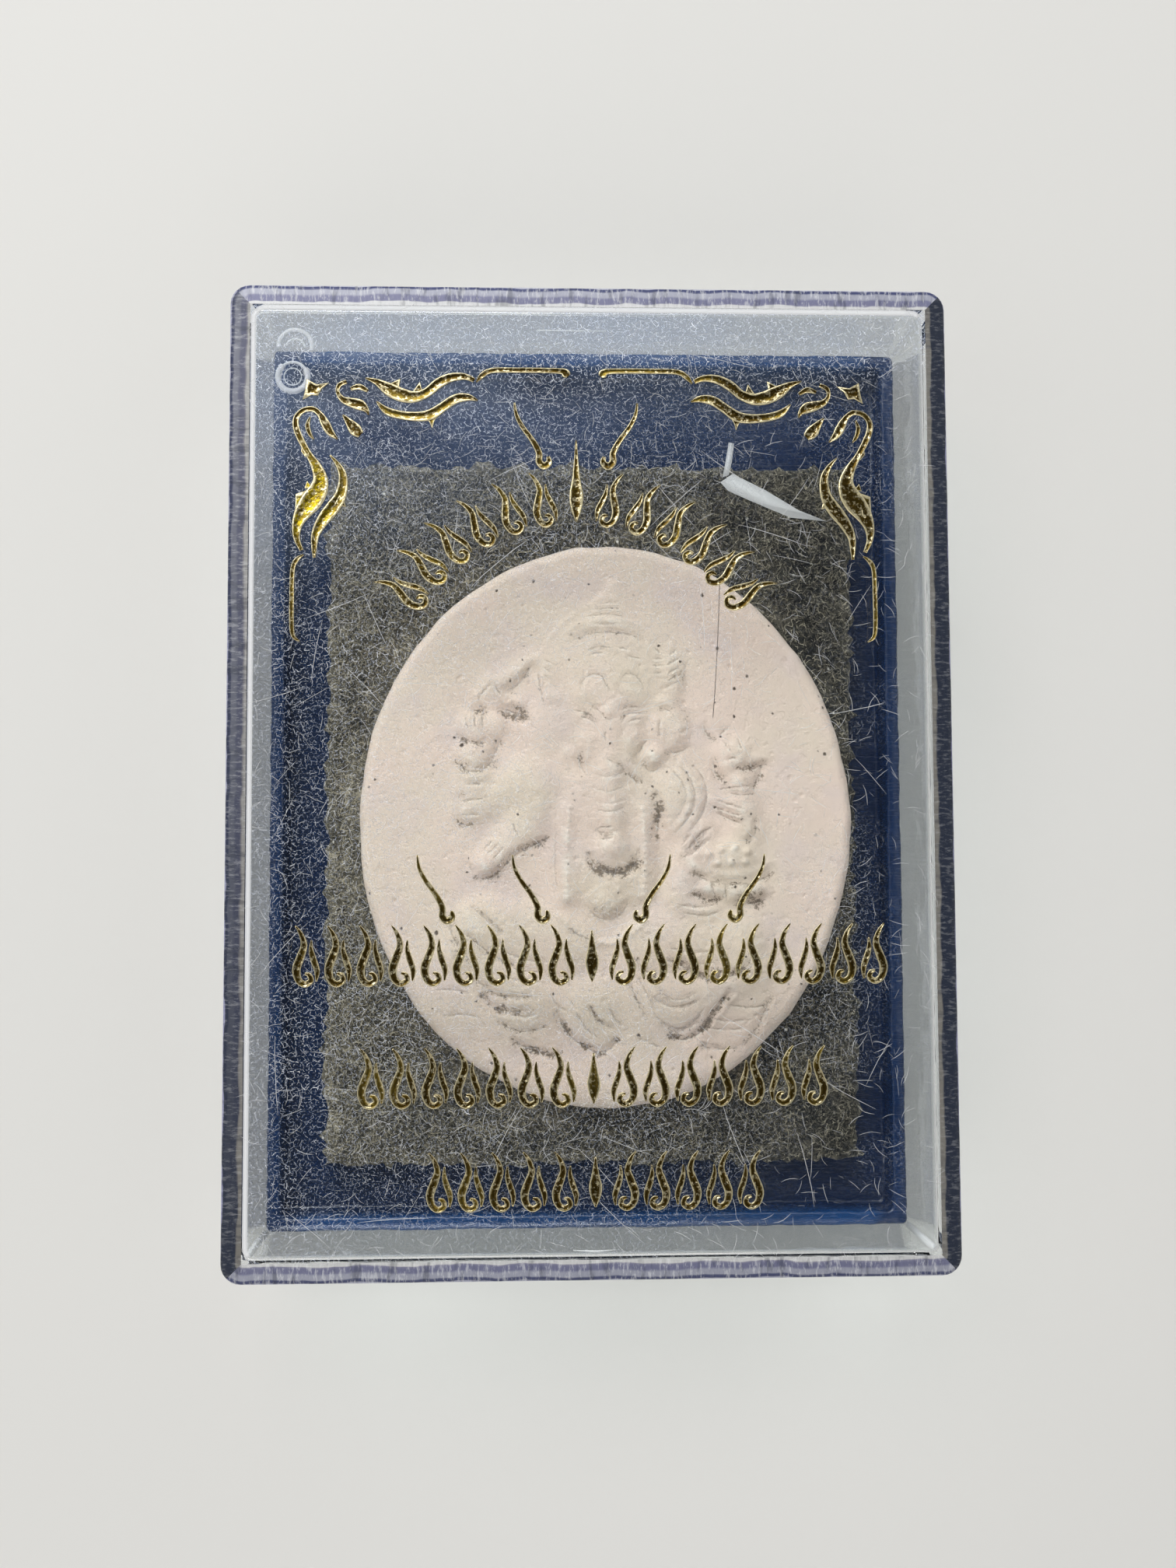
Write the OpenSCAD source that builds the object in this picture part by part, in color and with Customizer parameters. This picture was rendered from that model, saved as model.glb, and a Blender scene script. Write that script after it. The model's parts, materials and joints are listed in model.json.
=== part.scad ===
// Oval Ganesha amulet, pressed in pale clay, lying on a felt pad in a navy tray under a clear lid with gold foil.
// Millimetres. The case lies on its tray, +Z is up through the lid, the figure's head points along +Y.

/* [Case] */
// Width of the case, its short side
case_w = 58; // [54:0.5:64]
// Length of the case, its long side
case_l = 79.2; // [76:0.2:86]
// Height from the floor to the lid's top face
case_h = 16.5; // [16:0.25:20]
// Radius of the upright outer corners
corner_r = 1.6; // [0.8:0.1:2.4]
// Radius of the upright inner corners
inner_r = 0.5; // [0.2:0.1:1]

/* [Tray] */
// Thickness of the flange that the lid stands on
flange_t = 1.6; // [1:0.1:2]
// Height of the tray's floor
floor_z = 2; // [2:0.1:3]
// Height of the rim's top
rim_top = 5.1; // [4.5:0.1:8]
// Thickness of the rim
rim_t = 1.2; // [0.8:0.1:1.6]
// Clearance between the rim and the lid, on each side
rim_play = 0.2; // [0.1:0.02:0.3]

/* [Lid] */
// Thickness of the lid's walls
wall_t = 1.6; // [1.2:0.1:2.2]
// Thickness of the lid's top
top_t = 1.8; // [1.2:0.1:2.2]
// Gap between the lid's foot and the flange
foot_gap = 0.05; // [0.02:0.01:0.1]

/* [Pad] */
// Width of the felt pad
pad_w = 46; // [42:0.5:50]
// Length of the felt pad
pad_l = 60.5; // [54:0.5:70]
// Thickness of the felt pad
pad_t = 3.8; // [2:0.1:4]
// How far the cut edge of the felt wanders
pad_ragged = 0.35; // [0:0.05:0.6]

/* [Amulet] */
// Width of the oval
amulet_w = 41.3; // [36:0.1:43]
// Height of the oval, along the figure
amulet_l = 47.2; // [42:0.1:49]
// Thickness of the plate without the figure
plate_t = 3.8; // [3:0.1:4.2]
// Width of the sloping edge at the sides and the top
edge_slope = 0.8; // [0.4:0.1:1.2]
// More width of the sloping edge at the foot
foot_slope = 1.3; // [0:0.1:1.6]
// How high the edge's slope drops
edge_drop = 0.9; // [0.4:0.1:1.2]
// Height of the figure, as a share of a deep relief
relief = 0.7; // [0.5:0.05:1.2]
// How softly the forms rise: low is a round bead, high a gentle swell
softness = 0.9; // [0.6:0.05:1.2]
// Steps of the surface across the oval
steps_across = 60; // [40:2:64]
// Steps of the surface along the oval
steps_along = 68; // [44:2:72]

/* [Foil] */
// Thickness of the stamped foil
foil_t = 0.1; // [0.05:0.05:0.2]
// Gap between the foil and the lid
foil_gap = 0.02; // [0.01:0.01:0.05]
// Across the case, the line between the two mirrored corner ornaments
corner_mid = -0.5; // [-1.5:0.1:1.5]
// Steps of a foil stroke between two of its rows
stroke_steps = 2; // [2:1:4]

/* [Hidden] */

touch_gap = 0.05;
pad_at = [0.35, -2.3];
amulet_at = [1.4, -3.75];
pad_z = floor_z + touch_gap;
amulet_z = pad_z + pad_t + touch_gap;
lid_z = flange_t + foot_gap;
foil_z = case_h + foil_gap;
// How sharply the forms melt together, and how far below the plate a furrow may reach
round_power = 5;
deepest = -0.3;
// How far from its middle a dome can reach, and from its first point a stroke, in x and y
dome_reach = [6.5, 6];
stroke_reach = [9, 8];
// The figure fades out over this share of the oval's radius
fade_share = 1 / 12;
// How closely the foot's wider slope keeps to the foot
foot_power = 6;
// Size of the sole as a share of the oval
sole_share = 0.985;
// Steps along each side of the felt
pad_steps = 18;

// Figure, in the amulet's own millimetres: x to the right, y towards the crown, origin at the oval's middle.
// Domes. Columns: x, y, half width, half height, turn, height above the plate.
domes = [
    // crown and head
    [0.4, 12.5, 6.6, 6.5, 0, 1.1],
    [0.5, 11.3, 4.7, 4.5, 0, 1.5],
    [5.5, 12.6, 1.15, 2.7, 8, 1.25],
    [-4.8, 12.6, 1.1, 2.4, -8, 0.9],
    [0.3, 8.0, 3.7, 3.7, 0, 1.6],
    [-1.4, 7.1, 1.7, 1.9, 0, 1.75],
    [1.9, 7.1, 1.7, 1.9, 0, 1.85],
    [-1.6, 5.9, 1.0, 1.0, 0, 1.65],
    [1.7, 5.9, 0.9, 1.0, 0, 1.85],
    [3.9, 5.6, 1.05, 1.1, 0, 1.95],
    [-3.1, 5.9, 1.1, 1.0, 0, 1.2],
    [5.0, 8.0, 2.2, 2.8, 10, 1.25],
    [-4.5, 8.2, 2.7, 3.1, -10, 0.9],
    [0.6, -2.0, 2.1, 1.6, 0, 2.6],
    // chest, belly and pendant
    [0, 1.8, 5.4, 6.0, 0, 1.3],
    [0, -3.6, 4.6, 4.4, 0, 1.65],
    [-0.1, -6.2, 2.0, 2.0, 0, 1.85],
    // arms on the left
    [-6.2, 3.3, 3.5, 3.2, 20, 1.15],
    [-10.9, 8.4, 1.75, 1.1, 0, 1.3],
    [-9.2, 8.2, 1.1, 1.3, 0, 1.05],
    [-10.9, 5.7, 1.75, 1.35, 0, 1.4],
    [-9.6, 10.9, 1.0, 1.1, 0, 0.65],
    [-9.6, -3.1, 1.6, 1.3, 35, 1.75],
    // arms on the right
    [5.9, 1.8, 2.6, 3.7, 15, 1.4],
    [10.8, 6.0, 2.0, 1.5, 10, 1.45],
    [11.3, 3.9, 1.0, 1.1, 0, 1.5],
    [10.2, 4.9, 0.95, 1.0, -20, 1.5],
    // bowl of sweets
    [10.1, -2.9, 3.3, 2.0, 0, 1.9],
    [10.4, -5.2, 3.2, 1.8, 0, 1.6],
    [8.4, -5.3, 1.5, 1.0, 5, 1.9],
    [11.0, -5.5, 0.85, 1.0, 0, 1.9],
    [12.4, -5.6, 1.0, 0.75, -30, 1.85],
    [7.6, -7.2, 2.8, 1.3, -10, 1.5],
    // knees and the cloth between the legs
    [-10.7, -8.9, 2.8, 3.0, 0, 1.45],
    [11.2, -10.3, 2.8, 3.1, 0, 1.45],
    [-1.2, -15.6, 3.2, 3.5, 0, 1.35],
    [6.1, -14.6, 4.6, 3.6, 0, 1.15],
    [-7.0, -15.8, 4.9, 3.0, 12, 1.05]
];

// Limbs and bars. Columns: x, y at the start, x, y at the end, radius at both, height at both.
limbs = [
    // crown, brows, eyelids, trunk, tusk, ears
    [0.5, 16.5, 0.8, 20.1, 3.4, 0.6, 0.9, 0.5],
    [-2.2, 10.7, 0.0, 10.6, 1.0, 1.0, 1.6, 1.65],
    [0.0, 10.6, 1.0, 10.5, 1.0, 0.9, 1.65, 1.65],
    [1.0, 10.5, 3.0, 10.8, 0.9, 1.0, 1.65, 1.6],
    [-2.3, 9.0, -1.1, 8.6, 0.5, 0.45, 1.6, 1.7],
    [1.6, 8.5, 2.9, 8.9, 0.45, 0.5, 1.75, 1.65],
    [0.3, 9.2, 0.2, 4.6, 2.0, 1.9, 1.75, 2.0],
    [0.2, 4.6, 0.4, 1.0, 1.9, 1.55, 2.0, 2.15],
    [0.4, 1.0, 0.5, -1.6, 1.55, 1.65, 2.15, 2.45],
    [1.6, 5.2, 2.6, 4.0, 0.6, 0.45, 1.95, 1.65],
    [4.4, 10.2, 5.4, 10.2, 0.5, 0.5, 1.45, 1.35],
    [-5.0, 10.6, -4.0, 10.7, 0.55, 0.5, 1.15, 1.2],
    [5.5, 9.4, 6.5, 8.1, 0.5, 0.45, 1.35, 1.25],
    [6.5, 8.1, 5.6, 6.8, 0.45, 0.5, 1.25, 1.35],
    // garlands and arms
    [-3.2, 1.2, -3.3, -6.0, 1.1, 1.1, 1.35, 1.4],
    [3.1, 1.2, 3.1, -5.6, 1.1, 1.1, 1.35, 1.4],
    [-6.5, 3.6, -11.0, 1.4, 2.3, 1.7, 1.1, 0.95],
    [-11.2, 1.0, -10.9, 7.5, 1.55, 1.55, 1.05, 1.15],
    [-11.7, 4.1, -10.0, 4.2, 0.5, 0.5, 1.4, 1.35],
    [-11.5, 2.8, -10.4, 3.0, 0.5, 0.45, 1.3, 1.2],
    [-11.8, 1.4, -10.8, 1.4, 0.5, 0.45, 1.2, 1.15],
    [-8.6, 11.9, -6.0, 13.9, 0.8, 0.7, 0.95, 0.8],
    [-10.7, 10.6, -9.6, 12.1, 0.6, 0.6, 0.75, 0.8],
    [-9.6, 12.1, -8.4, 11.9, 0.6, 0.7, 0.8, 0.9],
    [-8.0, 10.2, -6.9, 10.2, 0.55, 0.5, 0.8, 0.75],
    [-5.6, 3.0, -6.8, -0.2, 2.7, 2.2, 1.25, 1.4],
    [-6.8, -0.2, -9.3, -2.9, 2.1, 1.6, 1.4, 1.6],
    [11.8, -0.6, 11.1, 3.4, 1.7, 1.5, 1.15, 1.25],
    [10.9, 5.15, 13.0, 5.5, 0.55, 0.45, 1.5, 1.15],
    [7.6, -1.0, 6.2, -6.2, 2.0, 1.7, 1.3, 1.35],
    // thighs, shins and seat
    [-3.6, -9.8, -10.2, -8.6, 3.3, 3.0, 1.2, 1.5],
    [3.8, -9.8, 10.8, -9.8, 3.3, 3.0, 1.2, 1.45],
    [-11.2, -10.2, -6.0, -14.9, 2.7, 2.4, 1.35, 1.25],
    [11.8, -11.8, 6.5, -15.2, 2.7, 2.5, 1.35, 1.2],
    [-12.6, -15.4, 12.4, -15.6, 3.4, 3.4, 0.45, 0.45]
];

// Ridges and furrows, added to the forms above. Columns: half width, height, then x and y of every bend.
strokes = [
    // crown and face
    [0.52, -0.24, -2.5, 15.5, -1.5, 15.9, 0.2, 16.05, 1.8, 15.9, 2.9, 15.5],
    [0.46, 0.2, -1.9, 16.4, 0.2, 16.8, 2.2, 16.4],
    [0.46, -0.19, -1.1, 9.7, -0.5, 9.3, -0.1, 8.8, 0.5, 8.7, 1.0, 8.9],
    [0.46, -0.19, 1.2, 9.5, 2.0, 9.8, 3.0, 9.7],
    [0.52, -0.25, -2.2, 6.0, -2.1, 5.0, -1.8, 4.2],
    [0.52, -0.34, 1.2, 4.8, 1.9, 4.1, 2.7, 3.4],
    [0.46, -0.25, 3.0, 5.0, 3.7, 4.4, 4.5, 4.7],
    [0.46, -0.31, 4.7, 9.6, 5.4, 9.4],
    [0.46, -0.25, 5.1, 5.9, 6.0, 6.0, 6.9, 6.4],
    [0.4, -0.09, -2.4, 8.3, -2.8, 7.4, -2.5, 6.4],
    [0.46, -0.12, -1.2, -0.5, 0.0, -0.7, 1.0, -0.5],
    [0.69, -0.5, -1.4, -2.7, -0.7, -3.7, 0.6, -4.1, 1.9, -3.8, 2.6, -2.9],
    // chest, pendant and belt
    [0.46, -0.15, -4.2, -0.5, -4.3, -3.0, -4.1, -5.6],
    [0.69, -0.43, 4.2, 2.2, 4.4, 0.6, 4.2, -0.9],
    [0.52, -0.19, -1.6, -6.9, -0.8, -7.7, 0.2, -7.9, 1.2, -7.4, 1.7, -6.6],
    [0.52, 0.24, -4.0, -7.6, -2.3, -9.0, -1.0, -9.7, 0.5, -9.8, 2.0, -9.0, 3.2, -8.0],
    // arms on the left
    [0.57, -0.28, -6.2, 13.2, -7.0, 12.1, -8.0, 11.2],
    [0.92, -0.6, -8.5, 9.6, -7.8, 9.4, -7.1, 9.0],
    [0.57, -0.37, -10.9, 9.5, -10.3, 9.5],
    [0.52, -0.37, -12.2, 7.2, -11.2, 6.8, -10.2, 6.8],
    [0.52, -0.31, -12.4, 5.3, -11.8, 4.6, -10.9, 4.4, -9.9, 4.8, -9.4, 5.6, -8.9, 6.9],
    [0.57, -0.31, -12.2, 2.4, -12.2, 2.1],
    [0.57, -0.31, -12.4, 0.3, -11.8, -0.1, -11.0, 0.1],
    [0.63, -0.34, -5.0, -1.3, -6.4, -1.9, -7.9, -2.8, -8.8, -3.8, -9.6, -4.4, -10.6, -4.5],
    // arms and sash on the right
    [0.52, -0.37, 11.0, 4.5, 12.2, 4.6, 13.3, 5.0],
    [0.52, -0.31, 13.0, 4.5, 12.7, 3.8, 12.4, 3.1],
    [0.52, -0.31, 9.0, 5.2, 9.2, 4.3, 9.9, 3.5],
    [0.46, -0.25, 8.2, 8.1, 8.5, 7.5, 9.0, 7.0],
    [0.46, -0.22, 10.2, 2.6, 11.3, 2.4, 12.4, 2.5],
    [0.46, 0.24, 8.9, 2.1, 10.2, 1.7, 11.5, 1.0],
    [0.46, -0.28, 9.2, 1.0, 10.3, 0.4, 11.3, 0.0],
    [0.57, -0.31, 12.4, 0.2, 12.4, -0.8, 11.8, -1.4],
    [0.4, 0.2, 5.6, 4.5, 6.7, 3.4, 7.0, 2.0, 6.5, 0.6, 5.6, -0.5],
    [0.4, 0.2, 6.2, 5.2, 7.5, 3.8, 7.9, 2.0, 7.2, 0.2, 6.0, -1.0],
    [0.52, -0.25, 8.4, -0.6, 7.4, -1.8, 6.2, -2.9],
    // bowl of sweets
    [0.46, 0.32, 7.0, -3.3, 8.3, -3.95, 10.2, -4.25, 12.2, -4.0, 13.6, -3.3],
    [0.52, -0.31, 7.2, -4.2, 8.6, -4.8, 10.4, -5.05, 12.3, -4.85, 13.7, -4.2],
    [0.52, -0.31, 7.3, -5.9, 8.3, -6.3, 9.4, -6.3],
    [0.8, -0.43, 11.2, -6.6, 12.2, -6.6, 13.1, -6.2],
    // legs and cloth
    [0.4, -0.12, -11.1, -6.9, -9.9, -7.9, -8.7, -9.1],
    [0.46, -0.19, -13.0, -7.6, -12.9, -8.8, -12.3, -10.0],
    [0.46, -0.15, -9.6, -12.8, -8.6, -13.6, -7.0, -13.9, -5.2, -13.9],
    [0.52, -0.25, -10.3, -13.8, -9.6, -14.7, -8.3, -15.1, -6.0, -15.1],
    [0.46, -0.15, -8.0, -16.1, -6.8, -16.7, -5.0, -16.8],
    [0.57, -0.25, -7.5, -17.9, -6.0, -18.5, -4.4, -18.7],
    [0.57, -0.28, -4.3, -15.7, -3.6, -16.8, -2.4, -17.8, -1.0, -18.7, 0.2, -18.5, 1.3, -17.5],
    [0.46, -0.15, -1.7, -14.8, -0.9, -16.0, -0.1, -16.7],
    [0.46, -0.15, 4.1, -14.8, 4.8, -15.6, 5.9, -16.0, 7.0, -15.4],
    [0.52, -0.25, 4.6, -17.0, 5.6, -17.6, 6.5, -17.7, 7.5, -16.9, 8.5, -15.7, 9.5, -14.1],
    [0.8, -0.22, 5.3, -12.3, 8.0, -12.8, 11.2, -12.7, 12.4, -11.6],
    [0.57, -0.22, 13.5, -14.4, 12.9, -15.9, 12.1, -17.3, 10.8, -18.7]
];

function along(a, b, t) = a + (b - a) * t;
function clamp01(t) = max(0, min(1, t));
function total(v) = len(v) == 0 ? 0 : v * [for (i = v) 1];

// Height of a dome, a limb and a stroke at a point
function dome_at(d, x, y) = let (
        dx = x - d[0], dy = y - d[1],
        u = (dx * cos(d[4]) + dy * sin(d[4])) / d[2],
        v = (dy * cos(d[4]) - dx * sin(d[4])) / d[3],
        t = u * u + v * v)
    t >= 1 ? 0 : d[5] * pow(1 - t, softness);
function on_line(e, x, y) = let (dx = e[2] - e[0], dy = e[3] - e[1], run = dx * dx + dy * dy)
    run == 0 ? 0 : clamp01(((x - e[0]) * dx + (y - e[1]) * dy) / run);
function off_line(e, s, x, y) = norm([x - along(e[0], e[2], s), y - along(e[1], e[3], s)]);
function limb_at(e, x, y) = let (
        s = on_line(e, x, y),
        t = pow(off_line(e, s, x, y) / along(e[4], e[5], s), 2))
    t >= 1 ? 0 : along(e[6], e[7], s) * pow(1 - t, softness);
function stroke_at(e, x, y) = let (
        near = min([for (i = [2:2:len(e) - 4]) let (part = [e[i], e[i + 1], e[i + 2], e[i + 3]])
            off_line(part, on_line(part, x, y), x, y)]),
        t = pow(near / e[0], 2))
    t >= 1 ? 0 : e[1] * pow(1 - t, 2);

// The forms melt into each other where they meet, as pressed clay does
function figure_height(x, y) = let (
        parts = concat(
            [for (d = domes) if (abs(x - d[0]) < dome_reach[0] && abs(y - d[1]) < dome_reach[1])
                pow(dome_at(d, x, y), round_power)],
            [for (e = limbs) pow(limb_at(e, x, y), round_power)]),
        cuts = [for (e = strokes) if (abs(x - e[2]) < stroke_reach[0] && abs(y - e[3]) < stroke_reach[1])
            stroke_at(e, x, y)],
        body = pow(total(parts), 1 / round_power))
    relief * max(deepest, body + total(cuts));

// Half width of the oval's sloping edge at an angle
function slope_w(a) = edge_slope + foot_slope * pow(max(0, -sin(a)), foot_power);
function oval(a, inset) = [(amulet_w / 2 - inset) * cos(a), (amulet_l / 2 - inset) * sin(a)];

// A square of steps pressed into the oval
function in_oval(u, v) = let (
        p = [u * sqrt(1 - v * v / 2), v * sqrt(1 - u * u / 2)],
        a = atan2(p[1], p[0]), r = norm(p), rim = oval(a, slope_w(a)))
    [rim[0] * r, rim[1] * r];
function edge_path() = concat(
    [for (i = [0:steps_across - 1]) [i, 0]],
    [for (j = [0:steps_along - 1]) [steps_across, j]],
    [for (i = [steps_across:-1:1]) [i, steps_along]],
    [for (j = [steps_along:-1:1]) [0, j]]);

module base() {
    color("midnightblue") {
        plate(case_w, case_l, corner_r, flange_t);
        difference() {
            plate(case_w - 2 * (wall_t + rim_play), case_l - 2 * (wall_t + rim_play), inner_r, rim_top);
            translate([0, 0, floor_z])
                plate(case_w - 2 * (wall_t + rim_play + rim_t), case_l - 2 * (wall_t + rim_play + rim_t),
                    inner_r, rim_top);
        }
    }
}

// A flat block with round upright corners, standing on z = 0
module plate(w, l, r, h) {
    linear_extrude(h) {
        square([w - 2 * r, l], center = true);
        square([w, l - 2 * r], center = true);
        for (sx = [-1, 1], sy = [-1, 1])
            translate([sx * (w / 2 - r), sy * (l / 2 - r)]) circle(r, $fn = 48);
    }
}

// The felt's cut edge wanders with two slow waves
function pad_edge(side, t) = pad_ragged * (sin(5 * 360 * t + 70 * side) + 0.6 * sin(11 * 360 * t + 40 * side)) / 2;
module pad() {
    steps = pad_steps;
    sides = [
        for (i = [0:steps - 1]) [along(-pad_w, pad_w, i / steps) / 2, -pad_l / 2 + pad_edge(1, i / steps)],
        for (i = [0:steps - 1]) [pad_w / 2 + pad_edge(2, i / steps) / 2, along(-pad_l, pad_l, i / steps) / 2],
        for (i = [0:steps - 1]) [along(pad_w, -pad_w, i / steps) / 2, pad_l / 2 + pad_edge(3, i / steps) / 2],
        for (i = [0:steps - 1]) [-pad_w / 2 + pad_edge(4, i / steps) / 2, along(pad_l, -pad_l, i / steps) / 2]
    ];
    color("dimgray") translate([pad_at[0], pad_at[1], pad_z]) linear_extrude(pad_t) polygon(sides);
}

module amulet() {
    columns = steps_across + 1;
    face = [for (j = [0:steps_along], i = [0:steps_across]) let (
            p = in_oval(2 * i / steps_across - 1, 2 * j / steps_along - 1),
            fade = clamp01((1 - norm([2 * p[0] / amulet_w, 2 * p[1] / amulet_l])) / fade_share))
        [p[0], p[1], plate_t + fade * figure_height(p[0], p[1])]];
    path = edge_path();
    n = len(path);
    rim = [for (p = path) face[p[1] * columns + p[0]]];
    wall = [for (p = rim) let (a = atan2(p[1] / amulet_l, p[0] / amulet_w), o = oval(a, 0))
        [o[0], o[1], plate_t - edge_drop]];
    sole = [for (p = wall) [p[0] * sole_share, p[1] * sole_share, 0]];
    points = concat(face, wall, sole, [[0, 0, 0]]);
    wall_0 = len(face);
    sole_0 = wall_0 + n;
    middle = sole_0 + n;
    faces = [
        for (j = [0:steps_along - 1], i = [0:steps_across - 1]) let (a = j * columns + i)
            each [[a, a + columns, a + 1], [a + 1, a + columns, a + columns + 1]],
        for (k = [0:n - 1]) let (
                m = (k + 1) % n,
                a = path[k][1] * columns + path[k][0], b = path[m][1] * columns + path[m][0])
            each [
                [a, b, wall_0 + m], [a, wall_0 + m, wall_0 + k],
                [wall_0 + k, wall_0 + m, sole_0 + m], [wall_0 + k, sole_0 + m, sole_0 + k],
                [sole_0 + k, sole_0 + m, middle]
            ]
    ];
    color("antiquewhite") translate([amulet_at[0], amulet_at[1], amulet_z]) polyhedron(points, faces);
}

module lid() {
    color("lightsteelblue", 0.3) translate([0, 0, lid_z]) difference() {
        plate(case_w, case_l, corner_r, case_h - lid_z);
        translate([0, 0, -top_t])
            plate(case_w - 2 * wall_t, case_l - 2 * wall_t, inner_r, case_h - lid_z);
    }
}

// Foil strokes: smooth ribbons through rows of x, y, width
function smooth_row(a, b, c, d, t) =
    (2 * b + (c - a) * t + (2 * a - 5 * b + 4 * c - d) * t * t + (3 * b - a - 3 * c + d) * t * t * t) / 2;
function smooth(rows) = let (n = len(rows)) [
    for (i = [0:n - 2], j = [0:stroke_steps - 1])
        smooth_row(rows[max(i - 1, 0)], rows[i], rows[i + 1], rows[min(i + 2, n - 1)], j / stroke_steps),
    rows[n - 1]];
function side_of(path, i, side) = let (
        n = len(path), a = path[max(i - 1, 0)], b = path[min(i + 1, n - 1)],
        d = [b[0] - a[0], b[1] - a[1]] / norm([b[0] - a[0], b[1] - a[1]]))
    [path[i][0] - side * d[1] * path[i][2] / 2, path[i][1] + side * d[0] * path[i][2] / 2];
module ribbon(rows) {
    path = smooth(rows);
    n = len(path);
    polygon([for (i = [0:n - 1]) side_of(path, i, 1), for (i = [n - 1:-1:0]) side_of(path, i, -1)]);
}
module foil() {
    color("goldenrod") translate([0, 0, foil_z]) linear_extrude(foil_t) children();
}

// Left corner ornament, in the case's own x and y. Columns: x, y, width.
star = [[-22.8, 31.8], [-22.0, 31.35], [-21.0, 31.5], [-21.6, 31.0], [-21.9, 30.45], [-22.4, 30.5], [-23.1, 30.1],
    [-22.9, 30.9]];
curl = [[-19.6, 31.6, 0.3], [-20.2, 31.3, 0.35], [-20.3, 30.7, 0.3], [-19.9, 30.15, 0.5], [-19.2, 29.9, 0.75],
    [-18.5, 29.7, 0.85], [-18.0, 29.3, 0.4], [-17.85, 28.9, 0.1]];
crescent = [[-19.3, 31.0, 0.25], [-18.6, 31.2, 0.45], [-17.9, 30.85, 0.25]];
upper_flame = [[-18.1, 31.9, 0.1], [-17.2, 31.6, 0.5], [-16.2, 31.0, 1.05], [-15.2, 30.55, 1.1], [-14.2, 30.4, 0.9],
    [-13.2, 30.75, 0.75], [-12.3, 31.5, 0.8], [-11.3, 32.0, 0.7], [-10.2, 32.1, 0.5], [-9.4, 31.8, 0.35]];
top_line = [[-9.2, 31.65, 0.1], [-8.8, 32.15, 0.4], [-8.0, 32.6, 0.4], [-6.0, 32.65, 0.4], [-4.0, 32.65, 0.4],
    [-2.4, 32.6, 0.45], [-2.0, 32.4, 0.7], [-1.8, 32.2, 0.4]];
lower_flame = [[-17.2, 30.0, 0.1], [-16.4, 29.25, 0.6], [-15.2, 28.9, 0.65], [-13.8, 28.8, 0.75], [-12.8, 29.0, 0.85],
    [-11.9, 29.6, 0.75], [-10.9, 30.25, 0.75], [-9.9, 30.4, 0.55], [-9.1, 30.15, 0.1]];
drop = [[-19.9, 28.9, 0.1], [-19.4, 28.3, 0.6], [-18.9, 27.7, 1.0], [-18.45, 27.3, 0.6]];
hook = [[-20.3, 26.9, 0.1], [-20.9, 27.5, 0.6], [-21.3, 28.2, 0.7], [-21.7, 28.9, 0.45], [-22.3, 29.35, 0.4],
    [-23.1, 29.2, 0.4], [-23.6, 28.6, 0.45], [-23.6, 27.8, 0.5], [-23.2, 26.8, 0.5], [-22.6, 25.7, 0.5],
    [-22.0, 24.7, 0.8], [-21.65, 23.7, 1.15], [-21.8, 22.8, 1.5], [-22.35, 21.9, 1.7], [-23.0, 21.0, 1.35],
    [-23.45, 20.0, 0.85], [-23.5, 18.9, 0.5], [-23.1, 17.9, 0.3]];
side_line = [[-22.95, 17.55, 0.1], [-23.5, 17.1, 0.35], [-23.8, 16.3, 0.35], [-23.85, 14.0, 0.35],
    [-23.85, 12.0, 0.35], [-23.7, 11.0, 0.3], [-23.2, 10.6, 0.1]];
comma = [[-22.5, 28.7, 0.1], [-22.7, 28.0, 0.35], [-22.5, 27.3, 0.3], [-22.2, 26.9, 0.1]];
leaf = [[-20.9, 25.6, 0.1], [-20.3, 24.9, 0.35], [-19.9, 24.1, 0.6], [-19.85, 23.2, 0.75], [-20.1, 22.2, 0.95],
    [-20.7, 21.3, 1.1], [-21.45, 20.3, 0.95], [-22.0, 19.2, 0.65], [-22.1, 18.2, 0.45], [-22.1, 17.3, 0.2]];
// Thorns, as three points each
thorns = [
    [[-15.9, 31.0], [-15.1, 31.7], [-15.1, 30.7]], [[-14.1, 30.5], [-13.6, 31.5], [-13.3, 30.8]],
    [[-13.3, 28.7], [-12.7, 27.85], [-12.5, 28.9]], [[-23.1, 26.3], [-23.2, 25.2], [-22.5, 25.6]],
    [[-22.4, 22.9], [-22.95, 22.8], [-22.6, 22.2]], [[-22.6, 22.1], [-23.7, 22.0], [-23.6, 20.6]],
    [[-20.1, 21.9], [-19.6, 20.6], [-20.5, 21.2]]
];
module corner_ornament() {
    polygon(star);
    for (rows = [curl, crescent, upper_flame, top_line, lower_flame, drop, hook, side_line, comma, leaf])
        ribbon(rows);
    for (t = thorns) polygon(t);
}
module foil_corner_left() { foil() corner_ornament(); }
module foil_corner_right() {
    foil() translate([corner_mid, 0]) mirror([1, 0]) translate([-corner_mid, 0]) corner_ornament();
}

// One flame of a flame row, one unit wide with its foot near y = 0. Columns: x, y, width.
flame_body = [[0.0, 0.33, 0.07], [-0.14, 0.28, 0.15], [-0.19, 0.09, 0.18], [0.0, -0.03, 0.2], [0.2, 0.13, 0.22],
    [0.26, 0.5, 0.26], [0.13, 0.92, 0.25], [0.03, 1.3, 0.2], [0.13, 1.68, 0.13], [0.3, 1.95, 0.04]];
flame_leaf = [[-0.36, 0.06, 0.05], [-0.38, 0.42, 0.17], [-0.27, 0.8, 0.19], [-0.19, 1.14, 0.14], [-0.2, 1.46, 0.04]];
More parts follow.
